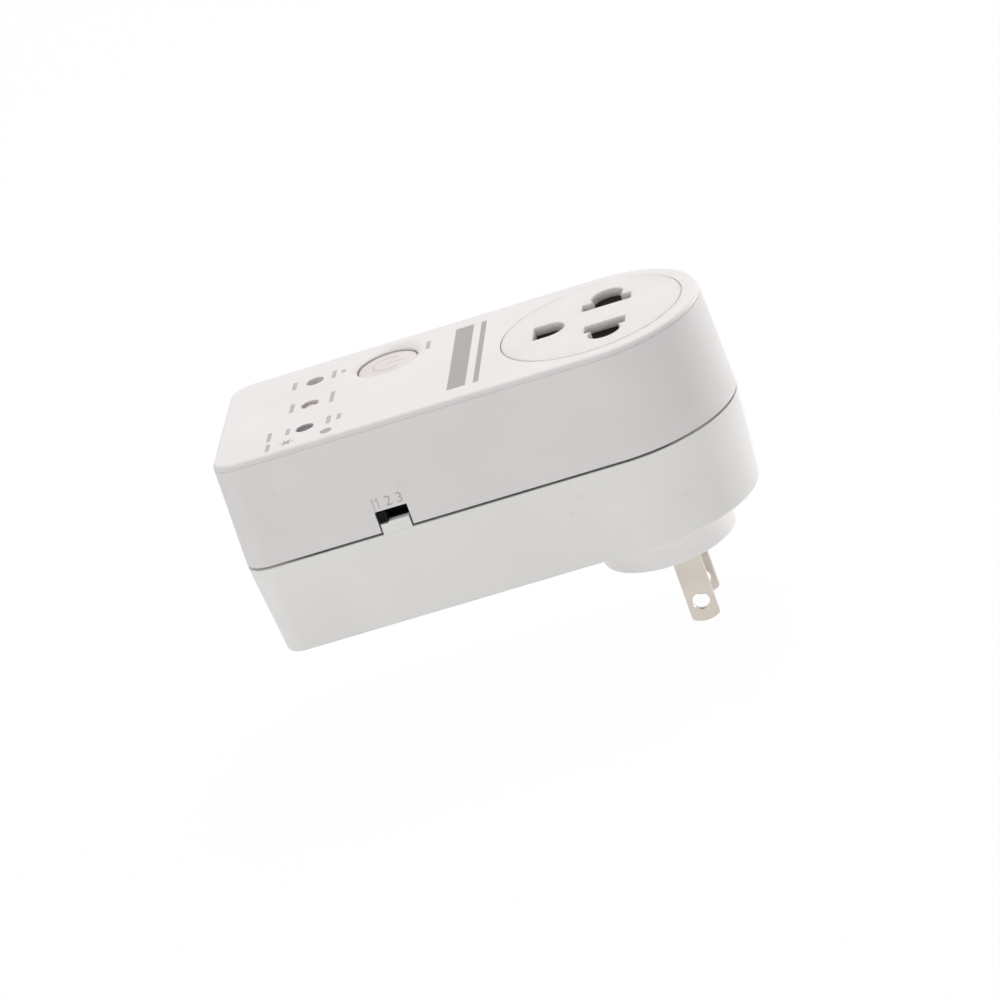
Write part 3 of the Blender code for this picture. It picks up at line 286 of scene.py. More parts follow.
def bore(place, radius, face, depth, out=1, steps=SMALL_ROUND, edge=HOLE_EDGE):
    """A cutter for a round hole with a rounded edge at a face."""
    inner = face - out * depth
    outer = face + out * MARGIN
    lip = flare(radius, edge, face, out)
    return turned([(0.0, inner), (radius, inner), *lip, (lip[-1][0], outer), (0.0, outer)], steps, place)


def box_mesh(low, high):
    outline = [(low[0], low[1]), (high[0], low[1]), (high[0], high[1]), (low[0], high[1])]
    return prism(outline, [(0.0, low[2]), (0.0, high[2])])


def upright(mesh):
    """A mesh drawn in X and Y stood up, so that its Y becomes Z and its Z looks along -Y."""
    mesh.transform(Matrix.Rotation(math.pi / 2, 4, "X"))
    return mesh


def joined(meshes):
    """Several meshes as one, without a Boolean, for marks that are printed together."""
    bm = bmesh.new()
    for mesh in meshes:
        bm.from_mesh(mesh)
    return solid(bm)


def baked(thing):
    """The mesh of an object after its modifiers, and the object taken away."""
    bpy.context.scene.collection.objects.link(thing)
    mesh = bpy.data.meshes.new_from_object(thing.evaluated_get(bpy.context.evaluated_depsgraph_get()))
    bpy.data.objects.remove(thing)
    return mesh


def carve(mesh, steps):
    """A mesh after a list of Boolean steps, each an operation and the mesh it works with."""
    work = bpy.data.objects.new("work", mesh)
    tools = []
    for operation, other in steps:
        tool = bpy.data.objects.new("tool", other)
        bpy.context.scene.collection.objects.link(tool)
        tools.append(tool)
        boolean = work.modifiers.new(operation, "BOOLEAN")
        boolean.operation = operation
        boolean.solver = "EXACT"
        boolean.object = tool
    result = baked(work)
    for tool in tools:
        bpy.data.objects.remove(tool)
    return result


def cuts(meshes):
    return [("DIFFERENCE", mesh) for mesh in meshes]


def joins(meshes):
    return [("UNION", mesh) for mesh in meshes]


def piece(name, mesh, material, body, slot, *nodes):
    """A piece of the object, which rides on a body and stands for CAD nodes."""
    mesh.shade_smooth()
    mesh.set_sharp_from_angle(angle=SHARP_ANGLE)
    mesh.materials.clear()
    mesh.materials.append(material)
    made = bpy.data.objects.new(name, mesh)
    bpy.context.scene.collection.objects.link(made)
    weighted = made.modifiers.new("Flat faces stay flat", "WEIGHTED_NORMAL")
    weighted.keep_sharp = True
    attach(made, body)
    if nodes:
        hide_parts(*nodes)
    return made


# Materials


def new_material(name):
    material = bpy.data.materials.new(name)
    material.use_nodes = True
    tree = material.node_tree
    return material, tree, tree.nodes["Principled BSDF"]


def noise(tree, scale, detail=4.0, stretch=(1.0, 1.0, 1.0)):
    """Noise over the object's own coordinates, in cells per metre."""
    place = tree.nodes.new("ShaderNodeTexCoord")
    mapping = tree.nodes.new("ShaderNodeMapping")
    mapping.inputs["Scale"].default_value = stretch
    texture = tree.nodes.new("ShaderNodeTexNoise")
    texture.inputs["Scale"].default_value = scale
    texture.inputs["Detail"].default_value = detail
    tree.links.new(place.outputs["Object"], mapping.inputs["Vector"])
    tree.links.new(mapping.outputs["Vector"], texture.inputs["Vector"])
    return texture.outputs["Fac"]


def spread(tree, value, low, high):
    """A noise's middle range spread from low to high."""
    spreader = tree.nodes.new("ShaderNodeMapRange")
    spreader.inputs["From Min"].default_value = 0.3
    spreader.inputs["From Max"].default_value = 0.7
    spreader.inputs["To Min"].default_value = low
    spreader.inputs["To Max"].default_value = high
    tree.links.new(value, spreader.inputs["Value"])
    return spreader.outputs["Result"]


def blend_colours(tree, factor, first, second):
    mix = tree.nodes.new("ShaderNodeMix")
    mix.data_type = "RGBA"
    mix.inputs["A"].default_value = (*first, 1.0)
    mix.inputs["B"].default_value = (*second, 1.0)
    tree.links.new(factor, mix.inputs["Factor"])
    return mix.outputs["Result"]


def bump(tree, shader, height, strength, distance):
    node = tree.nodes.new("ShaderNodeBump")
    node.inputs["Strength"].default_value = strength
    node.inputs["Distance"].default_value = distance
    tree.links.new(height, node.inputs["Height"])
    tree.links.new(node.outputs["Normal"], shader.inputs["Normal"])


def shade(colour, share):
    return tuple(channel * share for channel in colour)


def specks(tree, scale, size):
    """Sparse soft dots, 1 at the middle of a dot and 0 between them, with size as a share of their spacing."""
    place = tree.nodes.new("ShaderNodeTexCoord")
    cells = tree.nodes.new("ShaderNodeTexVoronoi")
    cells.inputs["Scale"].default_value = scale
    fade = tree.nodes.new("ShaderNodeMapRange")
    fade.inputs["From Min"].default_value = size
    fade.inputs["From Max"].default_value = size / 4
    tree.links.new(place.outputs["Object"], cells.inputs["Vector"])
    tree.links.new(cells.outputs["Distance"], fade.inputs["Value"])
    return fade.outputs["Result"]


def product(tree, first, second):
    times = tree.nodes.new("ShaderNodeMath")
    times.operation = "MULTIPLY"
    tree.links.new(first, times.inputs[0])
    tree.links.new(second, times.inputs[1])
    return times.outputs["Value"]


def gap_shade_mask(tree, depth):
    """Mask for painted shade: 1 deep in a narrow gap and 0 on open faces."""
    openness = tree.nodes.new("ShaderNodeAmbientOcclusion")
    openness.samples = 4
    openness.inputs["Distance"].default_value = depth
    fade = tree.nodes.new("ShaderNodeMapRange")
    fade.inputs["From Min"].default_value = 0.45
    fade.inputs["From Max"].default_value = 0.10
    tree.links.new(openness.outputs["AO"], fade.inputs["Value"])
    return fade.outputs["Result"]


def mid_length(tree):
    """1 along the middle of the case and 0 at its two ends, where the painted gap shade fades out."""
    place = tree.nodes.new("ShaderNodeTexCoord")
    split = tree.nodes.new("ShaderNodeSeparateXYZ")
    offset = tree.nodes.new("ShaderNodeMath")
    offset.operation = "SUBTRACT"
    offset.inputs[1].default_value = GAP_SHADE_MIDDLE
    distance = tree.nodes.new("ShaderNodeMath")
    distance.operation = "ABSOLUTE"
    fade = tree.nodes.new("ShaderNodeMapRange")
    fade.inputs["From Min"].default_value = GAP_SHADE_REACH[1]
    fade.inputs["From Max"].default_value = GAP_SHADE_REACH[0]
    tree.links.new(place.outputs["Object"], split.inputs["Vector"])
    tree.links.new(split.outputs["X"], offset.inputs[0])
    tree.links.new(offset.outputs["Value"], distance.inputs[0])
    tree.links.new(distance.outputs["Value"], fade.inputs["Value"])
    return fade.outputs["Result"]


def scuffed_and_shaded(tree, paint, amount, colour):
    """A colour socket darkened towards another colour by an amount, for scuffs and for painted shade."""
    dirt = tree.nodes.new("ShaderNodeMix")
    dirt.data_type = "RGBA"
    dirt.inputs["B"].default_value = (*colour, 1.0)
    tree.links.new(amount, dirt.inputs["Factor"])
    tree.links.new(paint, dirt.inputs["A"])
    return dirt.outputs["Result"]


def moulded(name, colour, roughness, vary=0.96, grain=5200.0, relief=0.000006, shine=0.5, scuffs_and_gap_shade=False, through=0.0):
    """Moulded plastic: a faint cloud of colour, patchy gloss, a fine grain, and, when asked, scuffs of use and painted
    shade in narrow gaps.
    """
    material, tree, shader = new_material(name)
    shader.inputs["Specular IOR Level"].default_value = shine
    shader.inputs["Subsurface Weight"].default_value = through
    shader.inputs["Subsurface Radius"].default_value = (1.0, 1.0, 1.0)
    shader.inputs["Subsurface Scale"].default_value = LIGHT_DEPTH
    cloud = spread(tree, noise(tree, 55.0), 0.0, 1.0)
    paint = blend_colours(tree, cloud, colour, shade(colour, vary))
    if scuffs_and_gap_shade:
        scuffs = product(tree, specks(tree, 75.0, 0.07), spread(tree, noise(tree, 38.0), 0.0, 0.7))
        paint = scuffed_and_shaded(tree, paint, scuffs, shade(colour, 0.62))
        # Painted shade: narrow gaps such as the parting line are darkened, most along the case's middle.
        gap_shade = product(tree, gap_shade_mask(tree, GAP_SHADE_DEPTH), mid_length(tree))
        paint = scuffed_and_shaded(tree, paint, gap_shade, shade(colour, 0.18))
    tree.links.new(paint, shader.inputs["Base Color"])
    gloss = spread(tree, noise(tree, 160.0), roughness - 0.05, roughness + 0.06)
    tree.links.new(gloss, shader.inputs["Roughness"])
    bump(tree, shader, noise(tree, grain, 2.0), 0.5, relief)
    return material


def metal(name, colour, roughness, stretch=(1.0, 1.0, 0.07), scratch=0.000005):
    """Plated or bare sheet metal with fine drawing marks along one direction."""
    material, tree, shader = new_material(name)
    shader.inputs["Metallic"].default_value = 1.0
    marks = noise(tree, 900.0, 6.0, stretch)
    tarnish = spread(tree, noise(tree, 210.0), 0.0, 1.0)
    tree.links.new(blend_colours(tree, tarnish, colour, shade(colour, 0.9)), shader.inputs["Base Color"])
    tree.links.new(spread(tree, marks, roughness - 0.06, roughness + 0.08), shader.inputs["Roughness"])
    bump(tree, shader, marks, 0.4, scratch)
    return material


def laminate(name):
    """Circuit board: green mask over darker copper runs, with a faint weave."""
    material, tree, shader = new_material(name)
    place = tree.nodes.new("ShaderNodeTexCoord")
    runs = tree.nodes.new("ShaderNodeTexBrick")
    runs.inputs["Scale"].default_value = 220.0
    runs.inputs["Mortar Size"].default_value = 0.03
    runs.inputs["Color1"].default_value = (0.03, 0.17, 0.06, 1.0)
    runs.inputs["Color2"].default_value = (0.05, 0.22, 0.08, 1.0)
    runs.inputs["Mortar"].default_value = (0.02, 0.10, 0.04, 1.0)
    tree.links.new(place.outputs["Object"], runs.inputs["Vector"])
    tree.links.new(runs.outputs["Color"], shader.inputs["Base Color"])
    tree.links.new(spread(tree, noise(tree, 400.0), 0.35, 0.5), shader.inputs["Roughness"])
    bump(tree, shader, runs.outputs["Fac"], 0.3, 0.00003)
    return material


LIGHT_DEPTH = 0.0030
# Depth, middle and reach of the painted shade in the case's narrow gaps.
GAP_SHADE_DEPTH = 0.0012
GAP_SHADE_MIDDLE = -0.0320
GAP_SHADE_REACH = (0.0400, 0.0460)
CASE = moulded("case plastic", (0.79, 0.78, 0.775), 0.50, shine=0.4, scuffs_and_gap_shade=True)
# The back cover shares the case plastic but is made lighter: painted light for the floor's bounce on its sides.
BACK = moulded("case plastic painted lighter for the back", (0.86, 0.86, 0.845), 0.50, shine=0.4, scuffs_and_gap_shade=True)
DISC = moulded("outlet plastic", (0.79, 0.77, 0.765), 0.48, shine=0.4, through=0.9)
# The plug boss shares the case plastic but is painted near-white: painted light for the shade it sits in under the
# case.
BOSS = moulded("case plastic painted whiter for the plug", (0.95, 0.945, 0.935), 0.48, shine=0.4)
BUTTON = moulded("button plastic", (0.72, 0.68, 0.675), 0.45, shine=0.4)
BLACK = moulded("black plastic", (0.006, 0.006, 0.006), 0.55, shine=0.15)
CARRIER = moulded("contact carrier", (0.10, 0.092, 0.09), 0.55, 0.85)
NICKEL = metal("nickel plating", (0.68, 0.625, 0.565), 0.34)
BRASS = metal("stamped brass", (0.72, 0.52, 0.22), 0.36)
ZINC = metal("zinc plating", (0.62, 0.62, 0.63), 0.36, (1.0, 1.0, 1.0))
BOARD = laminate("board laminate")
BROWN = moulded("pressed board", (0.30, 0.16, 0.07), 0.60, 0.8, 2600.0, 0.00001)
PRINT = moulded("grey print", (0.38, 0.365, 0.36), 0.55, 0.93)
PALE_PRINT = moulded("pale grey print", (0.46, 0.445, 0.44), 0.50, 0.96)
FAINT_PRINT = moulded("faint grey print", (0.60, 0.565, 0.56), 0.45, 0.96)
LENSES = [
    moulded("grey lens", (0.74, 0.63, 0.64), 0.22, 0.9),
    moulded("pale lens", (0.80, 0.71, 0.69), 0.22, 0.9),
    # The third lens is near-black: painted shade standing for the darkness deep in the status light's hole.
    moulded("near-black lens painted as shade", (0.08, 0.075, 0.075), 0.20, 0.9),
]


# Covers


def case_outline(inset):
    """The case's outline, drawn in by inset: a half round at the outlet, round corners at the lights."""
    radius = HALF_WIDTH - inset
    corner = max(CORNER_RADIUS - inset, LEAST_CORNER)
    corner_x = LIGHT_END_X + inset + corner
    points = arc((0.0, 0.0), radius, -90, 90, HALF_ROUND)
    points += arc((corner_x, radius - corner), corner, 90, 180, CORNER)
    points += arc((corner_x, corner - radius), corner, 180, 270, CORNER)
    return points


def case_loft(sections):
    return loft([[(x, y, z) for x, y in case_outline(inset)] for inset, z in sections])


def fillet(inset, z, radius, rise):
    """Sections of a rounded edge that starts upright at inset and z, with rise 1 for up and -1 for down."""
    turns = [math.radians(90 * i / FILLET) for i in range(FILLET + 1)]
    return [(inset + radius * (1 - math.cos(a)), z + rise * radius * math.sin(a)) for a in turns]


def front_inset(z):
    return FRONT_DRAFT * (z - PART_Z) / (FACE_Z - PART_Z)


def back_inset(z):
    return BACK_DRAFT * (PART_Z - z) / (PART_Z - BACK_Z)


def window_cutter():
    """The side window, whose edges are rounded where they meet the outside of the wall."""
    left, right = WINDOW_X - WINDOW_WIDTH / 2, WINDOW_X + WINDOW_WIDTH / 2
    bottom = PART_Z - MARGIN
    outline = [(left, bottom), (right, bottom), (right, WINDOW_TOP), (left, WINDOW_TOP)]
    face = HALF_WIDTH - front_inset(WINDOW_TOP)
    lip = flare(0.0, SHARP_EDGE, face, 1)
    return upright(prism(outline, [(0.0, face - 2 * WALL), *lip, (SHARP_EDGE, HALF_WIDTH + MARGIN)]))


def dish_cutter():
    """The button's hole, in a dish that gets steeper from the face down to the hole."""
    hole = BUTTON_RADIUS + BUTTON_GAP
    bottom, top = FACE_Z - WALL - MARGIN, FACE_Z + MARGIN
    profile = [(0.0, bottom), (hole, bottom)]
    for i in range(DISH_STEPS + 1):
        share = 1 - i / DISH_STEPS
        profile.append((DISH_RADIUS - share * (DISH_RADIUS - hole), FACE_Z - DISH_DEPTH * share ** 2))
    return turned([*profile, (DISH_RADIUS, top), (0.0, top)], ROUND, BUTTON_AT)


def front_shell():
    inner_z = FACE_Z - WALL
    rebate = WALL - LIP_WIDTH - SEAT_GAP
    rebate_top = PART_Z + LIP_HEIGHT + SEAT_GAP
    rim_z = PART_Z + PARTING_GAP / 2
    fillet_z = FACE_Z - FACE_FILLET
    inside = [(WALL + front_inset(z), z) for z in (inner_z, rebate_top)]
    rim = [(rebate, rebate_top), (rebate, rim_z), (front_inset(rim_z) + SHARP_EDGE, rim_z)]
    rim.append((front_inset(rim_z), rim_z + SHARP_EDGE))
    width, depth = CREASE
    crease = [(front_inset(fillet_z - width), fillet_z - width)]
    crease.append((front_inset(fillet_z) + depth, fillet_z - width / 2))
    outside = crease + fillet(front_inset(fillet_z), fillet_z, FACE_FILLET, 1)
    posts = [rod(p, FRONT_POST_RADIUS, PART_Z + SEAT_GAP / 2, inner_z + WALL / 2) for p in CASE_POSTS]
    posts += [rod(p, BOARD_POST_RADIUS, BOARD_TOP_Z + SEAT_GAP, inner_z + WALL / 2) for p in BOARD_POSTS]
    holes = [rod(p, CASE_PILOT_RADIUS, PART_Z - MARGIN, CASE_PILOT_TOP) for p in CASE_POSTS]
    holes += [rod(p, BOARD_PILOT_RADIUS, BOARD_TOP_Z - MARGIN, BOARD_PILOT_TOP) for p in BOARD_POSTS]
    lamps = [middle(f"status_led_{n}").to_2d() for n in (1, 2, 3)]
    holes += [bore(p, LED_HOLE_RADIUS, FACE_Z, WALL + MARGIN, edge=SHARP_EDGE) for p in lamps]
    outlet = INSERT_RADIUS + INSERT_GAP
    holes.append(bore((0.0, 0.0), outlet, FACE_Z, WALL + MARGIN, 1, ROUND, SHARP_EDGE))
    holes += [window_cutter(), dish_cutter()]
    mesh = carve(case_loft(inside + rim + outside), joins(posts) + cuts(holes))
    piece("front_shell", mesh, CASE, "case", "case_plastic", "front_cover")


def window_tab():
    """The tab that closes the bottom of the window, a little lower under the slider's first place."""
    left = WINDOW_X - WINDOW_WIDTH / 2 + TAB_GAPS[0]
    right = WINDOW_X + WINDOW_WIDTH / 2 - TAB_GAPS[1]
    low = PART_Z - PARTING_GAP / 2 - TAB_ROOT
    notch_x, notch_z = left + TAB_NOTCH[0], TAB_TOP - TAB_NOTCH[1]
    outline = [(left, low), (right, low), (right, TAB_TOP), (notch_x + TAB_NOTCH[1], TAB_TOP)]
    outline += [(notch_x, notch_z), (left, notch_z)]
    front = HALF_WIDTH - TAB_INSET
    levels = [(0.0, front - TAB_THICKNESS), (0.0, front - SHARP_EDGE), (-SHARP_EDGE, front)]
    return upright(prism(outline, levels))


def back_shell():
    inner_z = BACK_Z + WALL
    lip = WALL - LIP_WIDTH
    lip_top = PART_Z + LIP_HEIGHT
    rim_z = PART_Z - PARTING_GAP / 2
    fillet_z = BACK_Z + BACK_FILLET
    inside = [(WALL + back_inset(inner_z), inner_z), (WALL, rim_z), (WALL, lip_top)]
    rim = [(lip, lip_top), (lip, rim_z), (back_inset(rim_z) + SHARP_EDGE, rim_z)]
    rim.append((back_inset(rim_z), rim_z - SHARP_EDGE))
    outside = fillet(back_inset(fillet_z), fillet_z, BACK_FILLET, -1)
    posts = [rod(p, BACK_POST_RADIUS, BACK_Z + WALL / 2, PART_Z - SEAT_GAP / 2) for p in CASE_POSTS]
    pillars = [(x, y) for x in (PILLAR_AT, -PILLAR_AT) for y in (PILLAR_AT, -PILLAR_AT)]
    posts += [rod(p, PILLAR_RADIUS, BACK_Z + WALL / 2, PILLAR_TOP) for p in pillars]
    holes = [rod(p, SHANK_HOLE_RADIUS, COUNTERBORE_TOP - MARGIN, PART_Z + MARGIN) for p in CASE_POSTS]
    depth = COUNTERBORE_TOP - BACK_Z
    holes += [bore(p, COUNTERBORE_RADIUS, BACK_Z, depth, -1) for p in CASE_POSTS]
    holes.append(bore((0.0, 0.0), PLUG_RADIUS + SEAT_GAP, BACK_Z, WALL + MARGIN, -1, ROUND))
    mesh = carve(case_loft(inside + rim + outside), joins([*posts, window_tab()]) + cuts(holes))
    piece("back_shell", mesh, BACK, "case", "case_plastic", "back_cover")


# Outlet


def keyhole(side, length):
    """A slot with a round bulge on its outer side, anticlockwise, with side 1 for the +Y slot."""
    far = SLOT_INNER + SLOT_WIDTH
    centre = SLOT_REACH - SLOT_ROUND_RADIUS
    lean = math.degrees(math.asin((far - centre) / SLOT_ROUND_RADIUS))
    half = length / 2
    points = arc((half - SLOT_CORNER, SLOT_INNER + SLOT_CORNER), SLOT_CORNER, 270, 360, EDGE)
    points += arc((half - SLOT_CORNER, far - SLOT_CORNER), SLOT_CORNER, 0, 90, EDGE)
    points += arc((0.0, centre), SLOT_ROUND_RADIUS, lean, 180 - lean, SMALL_ROUND)
    points += arc((SLOT_CORNER - half, far - SLOT_CORNER), SLOT_CORNER, 90, 180, EDGE)
    points += arc((SLOT_CORNER - half, SLOT_INNER + SLOT_CORNER), SLOT_CORNER, 180, 270, EDGE)
    return [(SLOT_X + side * x, side * y) for x, y in points]


def earth_outline():
    centre = EARTH_TIP_X - EARTH_RADIUS
    flat = EARTH_FLAT_X + SLOT_CORNER
    points = arc((centre, 0.0), EARTH_RADIUS, -90, 90, SMALL_ROUND)
    points += arc((flat, EARTH_RADIUS - SLOT_CORNER), SLOT_CORNER, 90, 180, EDGE)
    points += arc((flat, SLOT_CORNER - EARTH_RADIUS), SLOT_CORNER, 180, 270, EDGE)
    return points


def outlet_plate():
    top = FACE_Z + INSERT_RISE
    under = FACE_Z - WALL - SEAT_GAP
    bottom = FACE_Z - INSERT_PLATE
    inner = CARRIER_RADIUS + SEAT_GAP
    edge = [(INSERT_RADIUS - r, z) for r, z in flare(0.0, SHARP_EDGE, top, 1)]
    rim = INSERT_RADIUS + INSERT_GAP - SNUG_GAP
    groove_z = FACE_Z - GROOVE_DEPTH
    profile = [(0.0, top), *edge[::-1], (INSERT_RADIUS, groove_z), (rim, groove_z)]
    profile += [(rim, under), (FLANGE_RADIUS, under)]
    profile += [(FLANGE_RADIUS, under - INSERT_FLANGE), (inner, under - INSERT_FLANGE)]
    profile += [(inner, bottom), (0.0, bottom)]
    levels = [(0.0, bottom - MARGIN), *flare(0.0, SHARP_EDGE, top, 1), (SHARP_EDGE, top + MARGIN)]
    outlines = [keyhole(side, length) for side, length in zip((1, -1), SLOT_LENGTHS)]
    slots = [prism(outline, levels) for outline in (*outlines, earth_outline())]
    mesh = carve(turned(profile), cuts(slots))
    piece("outlet_plate", mesh, DISC, "case", "case_plastic", "outlet_insert")


# Plug


def plug_boss():
    rim = arc((PLUG_RADIUS - PLUG_EDGE, PLUG_EDGE), PLUG_EDGE, 0, -90, FILLET)
    profile = [(0.0, PLUG_TOP_Z), (PLUG_FLANGE_RADIUS, PLUG_TOP_Z), (PLUG_FLANGE_RADIUS, PLUG_FLANGE_Z)]
    profile += [(PLUG_RADIUS, PLUG_FLANGE_Z), *rim, (0.0, 0.0)]
    reach = Vector((BLADE_WIDTH / 2 + SEAT_GAP, BLADE_THICKNESS / 2 + SEAT_GAP))
    slots = []
    for blade in ("neutral_blade", "line_blade"):
        low, high = middle(blade).to_2d() - reach, middle(blade).to_2d() + reach
        slots.append(box_mesh((*low, -MARGIN), (*high, PLUG_TOP_Z + MARGIN)))
    piece("plug_boss", carve(turned(profile), cuts(slots)), BOSS, "case", "case_plastic", "plug_base")


def blade_outline(tip_z):
    """A plug blade from the front, anticlockwise in X and Z: a blunt tip, the shoulders and the solder tab."""
    half = BLADE_WIDTH / 2
    radius = (half ** 2 + BLADE_TIP_RISE ** 2) / (2 * BLADE_TIP_RISE)
    lean = math.degrees(math.asin((half - BLADE_TIP_CORNER / 2) / radius))
    tip = arc((0.0, tip_z + radius), radius, 270 - lean, 270 + lean, CORNER)
    side = [(half, tip[-1][1] + BLADE_TIP_CORNER), (half, SHOULDER_Z[0]), (SHOULDER_WIDTH / 2, SHOULDER_Z[0])]
    side += [(SHOULDER_WIDTH / 2, SHOULDER_Z[1]), (BLADE_TAB_WIDTH / 2, SHOULDER_Z[1])]
    side.append((BLADE_TAB_WIDTH / 2, BLADE_TAB_TOP))
    return tip + side + [(-x, z) for x, z in side[::-1]]


def plug_blades():
    half = BLADE_THICKNESS / 2
    levels = [(-BLADE_EDGE, -half), (0.0, BLADE_EDGE - half), (0.0, half - BLADE_EDGE), (-BLADE_EDGE, half)]
    near, far = flare(BLADE_HOLE_RADIUS, BLADE_EDGE, half, 1), flare(BLADE_HOLE_RADIUS, BLADE_EDGE, -half, -1)
    profile = [(0.0, -half - MARGIN), (far[-1][0], -half - MARGIN), *far[::-1], *near]
    profile += [(near[-1][0], half + MARGIN), (0.0, half + MARGIN)]
    hole = turned(profile, SMALL_ROUND, (0.0, BLADE_HOLE_Z))
    for name, tip_z in BLADE_TIPS.items():
        place = middle(f"{name}_blade")
        mesh = upright(carve(prism(blade_outline(tip_z), levels), cuts([hole.copy()])))
        mesh.transform(Matrix.Translation((place.x, place.y, 0.0)))
        piece(f"{name}_prong", mesh, NICKEL, "case", "plated_blade", f"{name}_blade")


# Button, lights and slider


def button_top(x, y):
    """Height of the button's crowned top at a place measured from its middle."""
    share = math.hypot(x, y) / (BUTTON_RADIUS - BUTTON_EDGE)
    return FACE_Z - BUTTON_RECESS + BUTTON_CROWN * (1 - share ** 2)


def push_button():
    low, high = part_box("power_button")
    edge_radius = BUTTON_RADIUS - BUTTON_EDGE
    crown = [(edge_radius * i / FILLET, button_top(edge_radius * i / FILLET, 0.0)) for i in range(FILLET + 1)]
    rim = arc((edge_radius, FACE_Z - BUTTON_RECESS - BUTTON_EDGE), BUTTON_EDGE, 75, 0, EDGE)
    flange_top = FACE_Z - WALL - SEAT_GAP
    flange_radius = (high.x - low.x) / 2
    profile = [*crown, *rim, (BUTTON_RADIUS, flange_top), (flange_radius, flange_top)]
    profile += [(flange_radius, flange_top - BUTTON_FLANGE), (BUTTON_STEM_RADIUS, flange_top - BUTTON_FLANGE)]
    profile += [(BUTTON_STEM_RADIUS, low.z), (0.0, low.z)]
    mesh = turned(profile, ROUND, BUTTON_AT)
    piece("push_button", mesh, BUTTON, "power_button", "button_plastic", "power_button")


def crown_ribbon(pairs):
    """A thin printed line on the button's crown, between pairs of points on its two sides."""
    rings = []
    for (ax, ay), (bx, by) in pairs:
        a, b = button_top(ax, ay), button_top(bx, by)
        ring = [(ax, ay, a - PRINT_DEPTH), (bx, by, b - PRINT_DEPTH), (bx, by, b + PRINT_RISE), (ax, ay, a + PRINT_RISE)]
        rings.append([(BUTTON_AT.x + x, BUTTON_AT.y + y, z) for x, y, z in ring])
    return loft(rings)


def button_symbol():
    half = SYMBOL_LINE / 2
    sides = [arc((0.0, 0.0), SYMBOL_RADIUS + off, SYMBOL_OPENING, 360 - SYMBOL_OPENING, ROUND) for off in (half, -half)]
    start, end = SYMBOL_BAR
    along = [start + (end - start) * i / CORNER for i in range(CORNER + 1)]
    bar = [((x, half), (x, -half)) for x in along]
    mesh = joined([crown_ribbon(list(zip(*sides))), crown_ribbon(bar)])
    piece("button_symbol", mesh, FAINT_PRINT, "power_button", "print")


def status_lamps():
    for number, (recess, lens) in enumerate(zip(LED_RECESS, LENSES), 1):
        place = middle(f"status_led_{number}").to_2d()
        lead_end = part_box(f"status_led_{number}")[0].z
        top, bottom = FACE_Z - recess, FACE_Z - LED_BASE
        dome = [(x, top - LED_DOME + z * LED_DOME / LED_RADIUS) for x, z in arc((0.0, 0.0), LED_RADIUS, 90, 0, FILLET)]
        profile = [(0.0, top), *dome[1:], (LED_RADIUS, bottom + LED_RIM_HEIGHT)]
        profile += [(LED_RIM_RADIUS, bottom + LED_RIM_HEIGHT), (LED_RIM_RADIUS, bottom), (0.0, bottom)]
        spots = [place + Vector((off, 0.0)) for off in (-LED_LEAD_AT, LED_LEAD_AT)]
        leads = [rod(spot, LED_LEAD_RADIUS, lead_end, bottom + LED_RIM_HEIGHT / 2, CORNER) for spot in spots]
        mesh = carve(turned(profile, SMALL_ROUND, place), joins(leads))
        piece(f"lamp_{number}", mesh, lens, "case", "lens", f"status_led_{number}")


def switch_slider():
    """The slider's knob, with upright ridges on the front for a fingertip."""
    low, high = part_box("delay_switch_knob")
    pitch = (high.x - low.x) / (2 * RIDGES - 1)
    front = []
    for step in range(2 * RIDGES - 1):
        y = low.y + (RIDGE_DEPTH if step % 2 else 0.0)
        front += [(low.x + pitch * (step + 0.1), y), (low.x + pitch * (step + 0.9), y)]
    outline = [*front, (high.x, low.y + RIDGE_DEPTH), (high.x, high.y), (low.x, high.y), (low.x, low.y + RIDGE_DEPTH)]
    levels = [(-KNOB_EDGE / 2, low.z), (0.0, low.z + KNOB_EDGE), (0.0, high.z - KNOB_EDGE), (-KNOB_EDGE / 2, high.z)]
    piece("switch_slider", prism(outline, levels), BLACK, "delay_slider", "black_plastic", "delay_switch_knob")


# Marks


def face_mark(outline):
    return prism(outline, [(0.0, FACE_Z - PRINT_DEPTH), (0.0, FACE_Z + PRINT_RISE)])


def bar_outline(x, y, width, length):
    half_x, half_y = width / 2, length / 2
    return [(x - half_x, y - half_y), (x + half_x, y - half_y), (x + half_x, y + half_y), (x - half_x, y + half_y)]


def star_outline(x, y, outer, inner):
    turns = [math.radians(30 * i) for i in range(12)]
    return [
        (x + (inner if i % 2 else outer) * math.cos(a), y + (inner if i % 2 else outer) * math.sin(a))
        for i, a in enumerate(turns)
    ]


def face_marks():
    """Plain bars beside the lights, a dot, a star and two stripes across the face."""
    bars = [face_mark(bar_outline(x, y, BAR_WIDTH, length)) for x, y, length in BARS]
    piece("face_bars", joined(bars), PALE_PRINT, "case", "print")
    x, y, radius = DOT
    dot = face_mark(arc((x, y), radius, 0, 360 - 360 / SMALL_ROUND, SMALL_ROUND - 1))
    piece("face_icons", joined([dot, face_mark(star_outline(*STAR))]), PRINT, "case", "print")
    stripes = [face_mark(bar_outline(x, 0.0, width, STRIPE_LENGTH)) for x, width in STRIPES]
    piece("face_stripes", joined(stripes), PRINT, "case", "print")


def on_side(mesh, x, z):
    """A flat mark moved on to the front cover's near side, which leans in towards the face."""
    lean = FRONT_DRAFT / (FACE_Z - PART_Z)
    across, up = Vector((1.0, 0.0, 0.0)), Vector((0.0, lean, 1.0)).normalized()
    place = Vector((x, front_inset(z) - HALF_WIDTH, z))
    turn = Matrix((across, up, across.cross(up))).transposed().to_4x4()
    mesh.transform(Matrix.Translation(place) @ turn)
    return mesh


